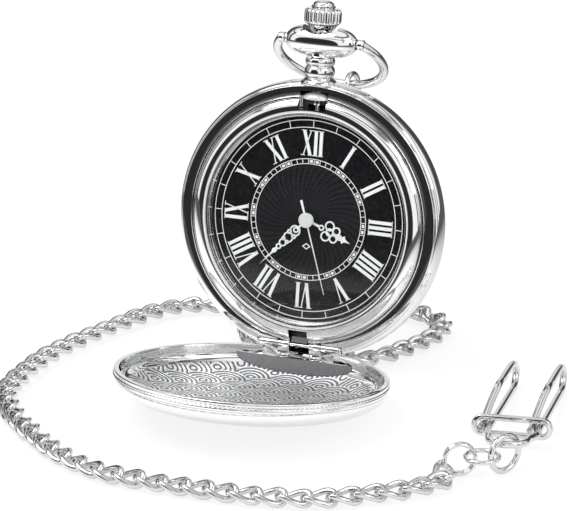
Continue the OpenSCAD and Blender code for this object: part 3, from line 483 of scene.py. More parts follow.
def plate(outline, low, thickness, bevel=0.0):
    """A flat shape cut from sheet."""
    select_only()
    bpy.ops.mesh.primitive_circle_add(vertices=len(outline), radius=1, fill_type="NGON")
    obj = bpy.context.object
    for vertex, (x, y) in zip(obj.data.vertices, outline):
        vertex.co = (x, y, low)
    with editing(obj):
        bpy.ops.mesh.extrude_region_move(TRANSFORM_OT_translate={"value": (0, 0, thickness)})
    closed_up(obj)
    return bevelled(obj, bevel) if bevel else obj


def oblong(half_width, low, high):
    """The outline of a bar that stands on the Y axis."""
    return [(-half_width, low), (half_width, low), (half_width, high), (-half_width, high)]


def washer(inner, outer, low, thickness, steps):
    return turned([(inner, low), (outer, low), (outer, low + thickness), (inner, low + thickness)], steps)


def drawn_in(vertex, depth):
    """Moves a point of a turned piece towards its axis."""
    share = 1 - depth / math.hypot(vertex.co.x, vertex.co.y)
    vertex.co.x *= share
    vertex.co.y *= share


def bevelled(obj, width, segments=2, angle=30):
    select_only(obj)
    edge = obj.modifiers.new("edge", "BEVEL")
    edge.width, edge.segments, edge.limit_method = width, segments, "ANGLE"
    edge.angle_limit = math.radians(angle)
    bpy.ops.object.modifier_apply(modifier=edge.name)
    return obj


def block(low, high):
    select_only()
    middle = [(a + b) / 2 for a, b in zip(low, high)]
    bpy.ops.mesh.primitive_cube_add(size=1, location=middle, scale=[b - a for a, b in zip(low, high)])
    bpy.ops.object.transform_apply(location=True, rotation=True, scale=True)
    return bpy.context.object


def rod(radius, start, end, axis="X", centre=(0, 0, 0), sides=48):
    """A round bar along an axis, from start to end on it."""
    select_only()
    tilt = {"X": (0, math.pi / 2, 0), "Y": (math.pi / 2, 0, 0), "Z": (0, 0, 0)}[axis]
    place = Vector(centre)
    place["XYZ".index(axis)] += (start + end) / 2
    bpy.ops.mesh.primitive_cylinder_add(vertices=sides, radius=radius, depth=abs(end - start),
                                        location=place, rotation=tilt)
    bpy.ops.object.transform_apply(location=True, rotation=True, scale=True)
    return bpy.context.object


def hoop(radius, wire, sides=64, round_sides=20):
    select_only()
    bpy.ops.mesh.primitive_torus_add(major_radius=radius, minor_radius=wire / 2,
                                     major_segments=sides, minor_segments=round_sides)
    return bpy.context.object


def smooth_path(points, steps):
    """A Catmull-Rom line through the points."""
    points = [Vector(p) for p in points]
    last = len(points) - 1

    def at(i):
        return points[max(0, min(last, i))]

    made = []
    for i in range(last):
        p, q, r, s = at(i - 1), at(i), at(i + 1), at(i + 2)
        for k in range(steps):
            t = k / steps
            made.append(0.5 * (2 * q + (r - p) * t + (2 * p - 5 * q + 4 * r - s) * t * t
                               + (3 * q - p - 3 * r + s) * t ** 3))
    return made + [points[-1]]


def wire(points, radius):
    """Round wire along a line of points."""
    curve = bpy.data.curves.new("wire", "CURVE")
    curve.dimensions = "3D"
    spline = curve.splines.new("POLY")
    spline.points.add(len(points) - 1)
    for point, place in zip(spline.points, points):
        point.co = (*place, 1)
    curve.bevel_depth, curve.bevel_resolution, curve.use_fill_caps = radius, 5, True
    obj = bpy.data.objects.new("wire", curve)
    bpy.context.collection.objects.link(obj)
    select_only(obj)
    bpy.ops.object.convert(target="MESH")
    return closed_up(bpy.context.object)


def combined(obj, tool, operation="DIFFERENCE"):
    select_only(obj)
    step = obj.modifiers.new("step", "BOOLEAN")
    step.operation, step.solver, step.object = operation, "EXACT", tool
    bpy.ops.object.modifier_apply(modifier=step.name)
    bpy.data.objects.remove(tool)
    return obj


def joined(objects):
    select_only(*objects)
    if len(objects) > 1:
        bpy.ops.object.join()
    return bpy.context.view_layer.objects.active


def moved(obj, matrix):
    obj.data.transform(matrix)
    return obj


def another(obj, matrix):
    copy = obj.copy()
    copy.data = obj.data.copy()
    bpy.context.collection.objects.link(copy)
    copy.data.transform(matrix)
    return copy


def finished(obj, name, place, body, nodes, finish="chrome", angle=32):
    """Puts a piece in its place, smooths it, gives it its finish and body, and hides the frame's parts that
    it replaces.
    """
    obj.name = obj.data.name = name
    obj.matrix_world = Matrix.Scale(MM, 4) @ place
    select_only(obj)
    bpy.ops.object.transform_apply(location=True, rotation=True, scale=True)
    bpy.ops.object.shade_smooth_by_angle(angle=math.radians(angle))
    if not obj.data.materials:
        obj.data.materials.append(finish_for(finish))
    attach(obj, body)
    if nodes:
        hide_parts(*nodes)
    return obj


def two_finishes(obj, second, chosen):
    """Chrome all over, but for the faces chosen by their middle and normal, which get the second finish."""
    for key in ("chrome", second):
        obj.data.materials.append(finish_for(key))
    for face in obj.data.polygons:
        face.material_index = int(chosen(face.center, face.normal))


# ---- stage ----

class WATCH_OT_stage(bpy.types.Operator):
    """Make the camera, the soft light and the pale floor"""
    bl_idname = "watch.stage"
    bl_label = "Camera, light and floor"

    def execute(self, context):
        self.camera(context)
        self.tent()
        self.lamps(context)
        self.floor()
        context.scene.view_settings.view_transform = "Standard"
        return {"FINISHED"}

    def camera(self, context):
        lens = bpy.data.cameras.new("camera")
        lens.sensor_width, lens.lens = 36, LENS
        lens.shift_x, lens.shift_y = SHIFT_X, SHIFT_Y
        lens.clip_start, lens.clip_end = 0.05, 20
        camera = bpy.data.objects.new("camera", lens)
        context.scene.collection.objects.link(camera)
        camera.matrix_world = Matrix.Translation(FACE * MM) @ CAMERA_TURN @ shift(0, 0, CAMERA_DISTANCE * MM)
        context.scene.camera = camera

    # Cards of the tent. The large one in front, as a direction with its inner and outer half angle
    FLAG, FLAG_INNER, FLAG_OUTER = (-0.348, -0.937, -0.01), 27, 34
    # Strips: azimuth from straight in front in degrees, half width in radians, lowest, highest, darkness
    STRIPS = ((66, 0.16, -0.2, 0.75, 0.95), (108, 0.07, -0.2, 0.6, 0.9), (30, 0.05, 0.3, 0.9, 0.85),
              (-78, 0.12, -0.2, 0.7, 0.94), (-128, 0.09, -0.2, 0.55, 0.9), (88, 0.05, -0.2, 0.8, 0.8))
    # Ribs overhead: height and half width; then how dark they are
    RIBS, RIB_DARKNESS = ((0.86, 0.035), (0.62, 0.02)), 0.8
    # The floor's white fades round this middle, from the first distance to the second, in metres
    FADE_X, FADE_Y, FADE_START, FADE_END = -0.03, -0.05, 0.04, 0.22

    def rays(self, tree):
        """Masks of the rays from the camera, and of those that metal reflects or glass lets through."""
        path = tree.node("ShaderNodeLightPath").socket.node
        camera, glossy, clear = (Value(tree, path.outputs[f"Is {kind} Ray"])
                                 for kind in ("Camera", "Glossy", "Transmission"))
        return camera, glossy.larger(clear)

    def tent(self):
        """A white tent whose dark cards only metal and glass see; they draw the dark lines in the chrome."""
        world = bpy.data.worlds.new("tent")
        world.use_nodes = True
        bpy.context.scene.world = world
        tree = Tree(world.node_tree)
        x, y, z = tree.parts(tree.node("ShaderNodeTexCoord", None, None, 0))

        def facing(direction):
            """The cosine of the angle from a direction."""
            return x * direction[0] + y * direction[1] + z * direction[2]

        def cone(cosine, outer, inner, to_low=0.0, to_high=1.0):
            return tree.smooth_step(cosine, math.cos(math.radians(outer)), math.cos(math.radians(inner)),
                                    to_low, to_high)

        around = x.bearing(y * -1.0)

        def strip(azimuth, half_width, low, high, darkness):
            away = (around - math.radians(azimuth)).size()
            there = tree.smooth_step(away, half_width * 0.6, half_width * 1.3, 1.0, 0.0)
            off_middle = (z - (low + high) / 2).size()
            tall = tree.smooth_step(off_middle, (high - low) * 0.4, (high - low) * 0.55, 1.0, 0.0)
            return there * tall * darkness

        shade = cone(facing(Vector(self.FLAG).normalized()), self.FLAG_OUTER, self.FLAG_INNER)
        # a dark frame round the backdrop, straight across from the camera, edges every wire and band
        right, _, back = (axis.xyz for axis in CAMERA_TURN.col[:3])
        beyond = facing(-back)
        sideways = (x * right.x + y * right.y).size()
        frame_card = (cone(beyond, 24, 12, 1.0, 0.0) * cone(beyond, 84, 60)
                      * tree.smooth_step(sideways, 0.12, 0.34, 0.2, 0.96))
        shade = shade.larger(frame_card)
        for values in self.STRIPS:
            shade = shade.larger(strip(*values))
        for height, half in self.RIBS:
            rib = tree.smooth_step((z - height).size(), half, half * 2.2, 1.0, 0.0)
            shade = shade.larger(rib * self.RIB_DARKNESS)
        light = 1.02 - 0.995 * shade
        camera_ray, seen = self.rays(tree)
        strength = camera_ray.larger(seen * light).larger((1.0 - camera_ray.larger(seen)) * 1.05)
        sky = tree.node("ShaderNodeBackground", None, {"Color": (1, 1, 1, 1), "Strength": strength})
        tree.node("ShaderNodeOutputWorld", None, {"Surface": sky})

    def lamps(self, context):
        for name, place, size, power in (
                ("key", (-0.35, -0.3, 0.75), 0.5, 3.0),
                ("fill", (0.6, -0.2, 0.5), 0.5, 1.2)):
            lamp = bpy.data.lights.new(name, "AREA")
            lamp.size, lamp.energy = size, power
            obj = bpy.data.objects.new(name, lamp)
            obj.location = place
            obj.rotation_euler = (-Vector(place)).to_track_quat("-Z", "Y").to_euler()
            context.scene.collection.objects.link(obj)

    def floor(self):
        """A pale floor; seen in metal and glass, its white fades with distance."""
        select_only()
        bpy.ops.mesh.primitive_plane_add(size=1.3, location=(0, 0, 0))
        floor = bpy.context.object
        floor.name = "floor"
        material = bpy.data.materials.new("pale_floor")
        material.use_nodes = True
        tree = Tree(material.node_tree)
        camera_ray, glossy_ray = self.rays(tree)
        x, y, _ = tree.parts(tree.node("ShaderNodeTexCoord", None, None, 3))
        aside, ahead = x - self.FADE_X, y - self.FADE_Y
        far = tree.smooth_step((aside * aside + ahead * ahead).root(), self.FADE_START, self.FADE_END)
        matt = tree.node("ShaderNodeBsdfDiffuse", None, {"Color": (*colours().floor, 1)})
        white = tree.node("ShaderNodeEmission", None, {
            "Color": (1, 1, 1, 1), "Strength": 1.0 - 0.9 * far * glossy_ray})
        both = tree.node("ShaderNodeMixShader", None, {
            0: (camera_ray * 0.8).larger(glossy_ray * (0.5 + 0.5 * far)), 1: matt, 2: white})
        tree.node("ShaderNodeOutputMaterial", None, {"Surface": both})
        floor.data.materials.append(material)


# ---- chain, rings and clip ----

class WATCH_OT_chain(bpy.types.Operator):
    """Make the curb chain along its route"""
    bl_idname = "watch.chain"
    bl_label = "Curb chain"

    def execute(self, context):
        size = sizes()
        thick = size.link_wire / MM
        half_length = (size.link_length / MM - thick) / 2
        half_width = (size.link_width / MM - thick) / 2
        link = hoop(1, thick, 24, 8)
        # the round hoop is drawn out to an oval and twisted a quarter turn from end to end
        for vertex in link.data.vertices:
            around = math.atan2(vertex.co.y, vertex.co.x)
            core = Vector((math.cos(around), math.sin(around), 0))
            offset = vertex.co - core
            end = abs(math.cos(around)) ** 1.6 * math.copysign(1, math.cos(around))
            oval = Vector((half_length * math.copysign(abs(math.cos(around)) ** 0.9, math.cos(around)),
                           half_width * math.copysign(abs(math.sin(around)) ** 0.75, math.sin(around)), 0))
            place = oval + offset
            vertex.co = Matrix.Rotation(math.radians(40) * place.x / half_length, 3, "X") @ place
        path = [p / MM for p in smooth_path(CHAIN_ROUTE, 12)]
        stations = self.stations(path, 2 * half_length - thick)
        rng = random.Random(7)
        links = []
        for place, forward, up in stations:
            side = up.cross(forward).normalized()
            frame_here = Matrix((forward, side, forward.cross(side))).transposed().to_4x4()
            roll = turn(rng.uniform(-7, 7), "X")
            links.append(another(link, Matrix.Translation(place) @ frame_here @ roll))
        bpy.data.objects.remove(link)
        chain = finished(joined(links), "curb_chain", ON_FLOOR, "case", ["chain"], finish="chain", angle=60)
        route = [p * MM for p in reversed(path)]
        context.scene["chain_length"] = sum((b - a).length for a, b in zip(route, route[1:]))
        context.scene["chain_route"] = [list(p) for p in route[::3] + [route[-1]]]
        return {"FINISHED"}

    def stations(self, path, pitch):
        """Link centres a pitch apart, each with its direction and its upper side."""
        total = sum((b - a).length for a, b in zip(path, path[1:]))
        pitch = total / round(total / pitch)
        made, travelled, wanted = [], 0.0, pitch / 2
        up = Vector((0, 0, 1))
        for a, b in zip(path, path[1:]):
            step = (b - a).length
            forward = (b - a) / step
            up = (up - forward * up.dot(forward)).normalized()
            while wanted <= travelled + step:
                made.append((a + forward * (wanted - travelled), forward, up))
                wanted += pitch
            travelled += step
        return made


class WATCH_OT_clip(bpy.types.Operator):
    bl_idname = "watch.clip"
    bl_label = "Rings and clip"

    def execute(self, context):
        # a double ring of spring wire: two turns side by side
        end = [self.ring((0, 0, side), 2.4, 0.62) for side in (-0.3, 0.3)]
        place = shift(39.4, -22, 2.9) @ turn(30, "Z") @ turn(90, "X")
        double = finished(joined(end), "double_ring", place, "case", ["end_link"], finish="wire", angle=60)
        small = finished(self.ring((0, 0, 0), 2.6, 0.75), "small_ring", shift(42.4, -20.25, 3),
                         "case", ["link_ring"], finish="wire", angle=60)
        place = shift(45.4, -18.35, 3.3) @ turn(60, "Z") @ turn(90, "X")
        large = finished(self.ring((0, 0, 0), 2.8, 1.0, 0.16), "large_ring", place, "case", ["jump_ring"],
                         finish="wire", angle=60)
        clip = finished(wire(smooth_path(self.prongs(), 5), 0.6), "clip_spring", CLIP,
                        "case", ["clip_wire"], finish="wire", angle=60)
        slide = finished(self.slide(), "clip_slide", CLIP @ shift(0, 5.1, 0.05) @ turn(90, "X"),
                         "clip_slider", ["clip_slider"], finish="wire", angle=40)
        return {"FINISHED"}

    def ring(self, centre, radius, thick, gap=0.0):
        """A ring of round wire; a jump ring keeps a fine slit where its ends meet."""
        if not gap:
            return moved(hoop(radius, thick), Matrix.Translation(centre))
        half = gap / radius / 2
        angles = [half + (2 * math.pi - 2 * half) * k / 64 + math.pi * 0.8 for k in range(65)]
        return moved(wire([(radius * math.cos(a), radius * math.sin(a), 0) for a in angles], thick / 2),
                     Matrix.Translation(centre))

    def prongs(self):
        half, long, jaw = 3.9, 31.0, 4.6
        prong = [(-1.2, 3, 0.15), (-1.2, 5, 0.15), (-1.2, 6.8, 0.35), (-1, 8.5, 1.4), (-0.5, 11, 3.2),
                 (0, 13.5, jaw), (0, 17, jaw), (0, long - 6, jaw - 0.1), (0, long - 2, jaw - 0.5),
                 (0, long + 0.4, jaw - 1.5), (0, long + 1.2, jaw / 2), (0, long + 0.6, 0.8),
                 (0, long - 1.2, 0), (0, long - 5, 0), (0, 18, 0), (0, 13, 0), (0, 8, 0), (0, 3.5, 0),
                 (0, 1.2, 0)]
        bend = [(half - 0.4, 0), (half - 0.8, -1.2), (3, -2.4), (2.8, -3.5), (1.9, -4.7)]
        return ([(x - half, y, z) for x, y, z in prong] + [(-x, y, 0) for x, y in bend] + [(0, -5.3, 0)]
                + [(x, y, 0) for x, y in reversed(bend)] + [(x + half, y, z) for x, y, z in reversed(prong)])

    def slide(self):
        def oval(radius):
            return ([(4.25 + radius * math.sin(a), radius * math.cos(a)) for a in
                     [math.pi * k / 20 for k in range(21)]]
                    + [(-5.15 - radius * math.sin(a), -radius * math.cos(a)) for a in
                       [math.pi * k / 20 for k in range(21)]])
        outer = plate(oval(1.75), -0.55, 1.1)
        band = combined(outer, plate(oval(0.85), -2, 4))
        return bevelled(band, 0.22, 3, 50)


# ---- case ----

class WATCH_OT_case(bpy.types.Operator):
    """Make the case band, bezel, crystal, inner ring and back"""
    bl_idname = "watch.case"
    bl_label = "Case"

    def execute(self, context):
        self.band()
        self.bezel()
        self.crystal()
        self.back()
        return {"FINISHED"}

    def band(self):
        outside = [(20.5, 0), (22.1, 0), (22.25, -0.35)] + [
            (22.25 + 0.75 * math.sin(a), -2.2 + 1.85 * math.cos(a))
            for a in [math.radians(6 * k) for k in range(1, 16)]]
        outside += arc(21.15, -2.6, 1.85, 2.0, 0, -90, 20)
        outline = soften(outside + [(19.2, -4.6), (19.2, -1.2), (20.5, -1.2)], 0.1)
        band = turned(outline, 240)
        combined(band, block((-2.45, 18.25, -1.25), (2.45, 21.2, 0.75)))
        combined(band, block((-1.4, 18.6, -2.9), (1.4, 21.25, 0.1)))
        combined(band, rod(1.75, 21.5, 24, "Y", (0, 0, PENDANT_Z)))
        combined(band, rod(1.36, 18, 24, "Y", (0, 0, PENDANT_Z)))
        combined(band, rod(0.66, -7.45, 7.45, "X", (0, HINGE_Y, HINGE_Z)))
        combined(band, rod(1.35, -3.85, 3.85, "X", (0, HINGE_Y, HINGE_Z)))
        combined(band, block((-7.45, HINGE_Y - 0.65, HINGE_Z), (7.45, HINGE_Y + 0.65, 0.5)))
        combined(band, block((-3.85, -24, HINGE_Z - 0.45), (3.85, HINGE_Y, 2)))
        self.paint_recess_shade(band)
        finished(band, "case_band", CASE, "case", ["mid_case"])

    # Recesses whose walls get a near-black finish, a painted shade: half width, nearest and farthest y, and
    # top; then the largest radius
    RECESSES, RECESS_RADIUS = ((1.68, -21.3, -18.3, 1.0), (2.5, 18.2, 21.25, -0.02)), 21.6

    def paint_recess_shade(self, obj):
        """Painted shade: the walls of the recesses behind the hinge and the catch get a near-black finish
        that stands in for their shade.
        """
        def inside(middle, _):
            return math.hypot(middle.x, middle.y) < self.RECESS_RADIUS and any(
                abs(middle.x) < half and near < middle.y < far and middle.z < top
                for half, near, far, top in self.RECESSES)
        two_finishes(obj, "recess_shade", inside)

    def bezel(self):
        outline = [(18.25, -1.2), (20.45, -1.2), (20.45, 0.08), (20.38, 0.2), (20.08, 0.2), (20.0, 0.02),
                   (19.93, 0.2)]
        outline += arc(18.1, 0.2, 1.75, 0.95, 8, 90, 18)
        outline += [(17.97, 1.13), (17.95, 1.0), (17.95, 0.72), (17.45, 0.72), (17.45, -0.6), (18.25, -0.6)]
        ring = turned(soften(outline, 0.035), 240)
        combined(ring, block((-2.45, 18.3, -2), (2.45, 22.3, 2)))
        combined(ring, block((-1.65, -21.5, -2), (1.65, -18.35, 2)))
        combined(ring, rod(0.75, -3.85, 3.85, "X", (0, HINGE_Y, HINGE_Z)))
        self.paint_recess_shade(ring)
        finished(ring, "bezel_ring", CASE, "case", ["bezel"])
        inner = [(17.42, -0.6), (17.42, 0.69), (17.3, 0.69), (17.26, 0.4), (17.22, 0.2), (17.12, 0.2),
                 (17.05, -0.1), (16.95, -0.3), (16.92, -0.6)]
        finished(turned(soften(inner, 0.04), 200), "inner_ring", CASE, "case", ["rehaut"])

    def crystal(self):
        outline = [(0, 0.75), (17.6, 0.75), (17.7, 0.85)]
        outline += [(r, 1.1 + 0.6 * (1 - (r / 17.7) ** 2)) for r in
                    [17.66 * math.cos(math.radians(90 * k / 16)) for k in range(17)]]
        outline[-1] = (0, 1.7)
        finished(turned(outline, 200), "watch_glass", CASE, "case", ["crystal"], "glass")

    def back(self):
        outline = [(0, -6.2), (13, -6.2)]
        outline += [(13 + 8.15 * math.sin(math.radians(90 * k / 20)),
                     -4.6 - 1.6 * (0.28 + 0.72 * math.cos(math.radians(90 * k / 20))) + 0.448 * k / 20)
                    for k in range(1, 21)]
        outline += [(21.15, -4.64), (20.9, -4.6), (19.17, -4.6), (19.17, -4.3), (19.05, -4.18), (18.4, -4.18),
                    (18.4, -4.95), (0, -4.95)]
        back = turned(soften(outline, 0.12), 200)
        finished(back, "back_lid", CASE, "case", ["back_cover"])


# ---- pendant, crown and bow ----

class WATCH_OT_pendant(bpy.types.Operator):
    """Make the neck, collar, crown and bow"""
    bl_idname = "watch.pendant"
    bl_label = "Pendant, crown and bow"

    def execute(self, context):
        self.neck()
        self.collar()
        self.crown()
        self.bow()
        return {"FINISHED"}

    def neck(self):
        outline = [(1.35, 21.6), (1.7, 21.6), (1.7, 22.2), (3.0, 22.2), (3.06, 22.5), (2.8, 22.95),
                   (2.45, 23.2), (2.2, 23.4)]
        outline += arc(2.15, 24.4, 0.35, 0.88, -80, 80, 12)
        outline += [(2.12, 25.38), (2.2, 25.5), (2.36, 25.62)]
        outline += arc(2.25, 26.15, 0.18, 0.5, -60, 60, 8)
        outline += [(2.2, 26.7), (1.95, 26.9), (1.9, 30.0), (1.35, 30.0)]
        neck = turned(soften(outline, 0.14), 96)
        combined(neck, moved(turned([(0, 0.02), (22.12, 0.02), (22.22, -0.45), (22.9, -1.5), (22.99, -2.4),
                                     (22.6, -3.7), (21.2, -4.6), (0, -4.6)], 128),
                             turn(90, "X") @ shift(0, 0, -PENDANT_Z)))
        finished(neck, "neck_tube", PENDANT, "case", ["pendant_neck"])

    def collar(self):
        spindle = [(0, -6.05)]
        for k in range(-24, 25):
            x = 6.05 * math.sin(math.radians(90 * k / 24))
            spindle.append((max(0.95, 2.65 * math.sqrt(1 - (abs(x) / 6.2) ** 3)), x))
        spindle.append((0, 6.05))
        collar = moved(turned(spindle, 96), turn(90, "Y"))
        for side in (-1, 1):
            combined(collar, rod(0.66, side * 6.2 - 0.7, side * 6.2 + 0.7, "X"))
        seat = turned([(0, 0.9), (1.9, 0.9), (3.2, 1.85), (3.2, 4), (0, 4)], 96)
        combined(collar, moved(seat, turn(-90, "X")))
        bevelled(collar, 0.09, 3, 28)
        finished(collar, "bow_barrel", CASE @ shift(0, COLLAR_Y, PENDANT_Z), "case", ["bow_collar"])

    def crown(self):
        low, high = 32.4, 34.55
        outline = [(0, 30.96), (1.6, 30.96), (1.75, 31.05), (2.5, 32.1), (2.9, 32.36), (3.04, 32.62),
                   (3.05, 32.9), (3.05, 33.5), (3.05, 34.0), (3.04, 34.3), (2.88, 34.58), (2.5, 34.78),
                   (2.05, 34.82),
                   (0, 34.82)]
        fluted = turned(soften(outline, 0.12), 320)
        depth = sizes().flute_depth / MM
        for vertex in fluted.data.vertices:
            radius = math.hypot(vertex.co.x, vertex.co.y)
            if radius > 2.55 and low < vertex.co.z < high + 0.2:
                valley = 1 - abs(math.cos(10 * math.atan2(vertex.co.y, vertex.co.x))) ** 0.65
                ends = min(1, (vertex.co.z - low) / 0.3, (high + 0.2 - vertex.co.z) / 0.35)
                drawn_in(vertex, depth * valley * max(0, ends * min(1, (radius - 2.55) / 0.3)))
        button = [(0, 34.81), (1.78, 34.81), (1.95, 34.93), (1.97, 35.12), (1.86, 35.26), (1.7, 35.3)]
        button += arc(0, 35.34, 1.7, 0.82, 0, 90, 16)
        button[-1] = (0, 36.16)
        finished(fluted, "crown_knob", PENDANT, "crown", ["crown"], angle=50)
        finished(turned(button, 96), "crown_button", PENDANT, "crown", ["crown_cap"])

    def bow(self):
        radius, end_x = 9.0, 6.9
        offset = math.sqrt(radius * radius - end_x * end_x)
        start = math.asin(offset / radius)
        line = [(radius * math.cos(a), offset + radius * math.sin(a), 0) for a in
                [-start + (math.pi + 2 * start) * k / 72 for k in range(73)]]
        parts = [wire(line, 0.75)]
        for side in (-1, 1):
            eye = bevelled(rod(0.9, side * end_x - 0.62, side * end_x + 0.62), 0.4, 5)
            pin = rod(0.45, side * 6.25 - 1, side * 6.25 + 1)
            parts += [eye, pin]
        finished(joined(parts), "bow_ring", BOW, "bow", ["bow"], angle=60)
        place = BOW @ shift(0, offset, 0) @ turn(84, "Z") @ shift(10, 0, 0) @ turn(90, "X")
        finished(hoop(2.3, 0.9), "bow_jump_ring", place, "bow", ["bow_link"], finish="wire", angle=60)


# ---- catch and hinge ----

class WATCH_OT_catch(bpy.types.Operator):
    """Make the catch at twelve and the hinge at six"""
    bl_idname = "watch.catch"
    bl_label = "Catch and hinge"

    def execute(self, context):
        base = block((-2.3, 19.03, -1.2), (2.3, 20.9, -0.85))
        nose = self.nose()
        rib = [block((x - 0.17, 19.03, -0.9), (x + 0.17, 20.1, -0.25)) for x in (0.1, 0.75)]
        tab = block((-1.2, 20.5, -2.7), (1.2, 21.05, -0.9))
        parts = [bevelled(part, 0.06) for part in (base, nose, tab, *rib)]
        # the catch's base and tab sit in the recess and get its near-black painted shade
        dark = finish_for("recess_shade")
        for part in (parts[0], parts[2]):
            part.data.materials.append(dark)
        parts[1].data.materials.append(finish_for("catch"))
        for part in parts[3:]:
            part.data.materials.append(finish_for("chrome"))
        finished(joined(parts), "catch_tongue", CASE, "catch", ["cover_catch"])
        barrels = []
        for side in (-1, 1):
            low, high = sorted((side * 3.87, side * 6.95))
            barrels.append(bevelled(rod(0.65, low, high), 0.07, 3))
            low, high = sorted((side * 6.99, side * 7.28))
            barrels.append(bevelled(rod(0.53, low, high), 0.1, 3))
        barrels.append(rod(0.34, -7.1, 7.1))
        finished(joined(barrels), "hinge_barrels", CASE @ shift(0, HINGE_Y, HINGE_Z), "case",
                 ["hinge_tubes", "hinge_pin"])
        return {"FINISHED"}

    def nose(self):
        """A half dome: a flattened ball cut flat behind and below."""
        select_only()
        bpy.ops.mesh.primitive_uv_sphere_add(segments=64, ring_count=32, radius=1, location=(0, 20.03, -1.35),
                                             scale=(2.37, 1.07, 1.75))
        ball = bpy.context.object
        bpy.ops.object.transform_apply(location=True, rotation=True, scale=True)
        return combined(ball, block((-2.4, 19.85, -1.0), (2.4, 21.12, 2)), "INTERSECT")


# ---- cover ----

class WATCH_OT_cover(bpy.types.Operator):
    """Make the open cover: its rim, milled bead, sheet and hinge plate"""
    bl_idname = "watch.cover"
    bl_label = "Cover"

    def execute(self, context):
        outline = [(21.2, 0.05), (21.95, 0.05), (22.07, 0.17), (22.07, 0.58), (22.0, 0.66), (22.0, 1.04),
                   (22.07, 1.12), (22.07, 1.5), (21.92, 1.66), (21.2, 1.66)]
        rim = turned(soften(outline, 0.07), 240)
        combined(rim, block((-20, -40, -1), (20, -20.25, 5)))
        bead = self.bead()
        finished(joined([rim, bead]), "lid_rim", COVER, "cover", ["cover_rim"])
        self.sheet()
        self.hinge_plate()
        return {"FINISHED"}

    def bead(self):
        """A round bead with its milling cut across it."""
        bead = turned([(22.0 + 0.17 * math.cos(a), 0.85 + 0.17 * math.sin(a)) for a in
                       [2 * math.pi * k / 8 for k in range(8)]], 720)
        for vertex in bead.data.vertices:
            around = math.atan2(vertex.co.y, vertex.co.x)
            radius = math.hypot(vertex.co.x, vertex.co.y)
            if radius > 22.02:
                drawn_in(vertex, 0.09 * (math.sin(around * 180) < 0))
        return combined(bead, block((-20, -40, -1), (20, -20.25, 5)))

    def sheet(self):
        def dome(radius, height, count=40):
            made = []
            for k in range(count + 1):
                r = radius * math.sin(math.radians(90 * k / count))
                made.append((r, 1.66 + height * math.sqrt(max(0, 1 - (r / radius) ** 4))))
            return made
        outer, inner = dome(21.95, 3.9), dome(21.2, 3.35)
        shell = turned(outer + inner[::-1], 240)
        two_finishes(shell, "engine_turned",
                     lambda middle, normal: math.hypot(middle.x, middle.y) < 20.4 and normal.z < 0)
        finished(shell, "lid_sheet", COVER, "cover", ["cover_shell"])

    def hinge_plate(self):
        low, high = -18.9, -18.55
        wall = block((-20, low, 1.23), (20, high, 11))
        inside = [(0, 0.05), (21.1, 0.05)]
        for k in range(40, -1, -1):
            r = 21.2 * math.sin(math.radians(90 * k / 40))
            inside.append((r * 0.998, 1.6 + 3.35 * math.sqrt(max(0, 1 - (r / 21.2) ** 4))))
        combined(wall, turned(inside, 160), "INTERSECT")
        parts = [wall]
        for side in (-1, 1):
            start, end = sorted((side * 1.75, side * 3.79))
            lug = bevelled(rod(0.65, start, end, "X", (0, HINGE_Y, HINGE_Z)), 0.06, 3)
            arm = block((start, HINGE_Y - 0.3, HINGE_Z), (end, HINGE_Y + 0.45, 1.6))
            foot = block((start, HINGE_Y, 1.23), (end, -18.7, 1.6))
            parts += [lug, bevelled(arm, 0.08), bevelled(foot, 0.05)]
        plate_piece = joined(parts)
        two_finishes(plate_piece, "satin", lambda middle, normal: middle.y > high - 0.05 and normal.y > 0.9)
        finished(plate_piece, "lid_hinge_plate", COVER, "cover", ["cover_hinge_plate"])


# ---- dial ----

TRACK = 16.5
TRACK_IN = TRACK * 0.927
CHAPTER_OUT, CHAPTER_IN = TRACK * 0.613, TRACK * 0.557
DIAL_TOP, PRINT = -0.6, 0.05       # the dial's face, and how thick its print lies on it


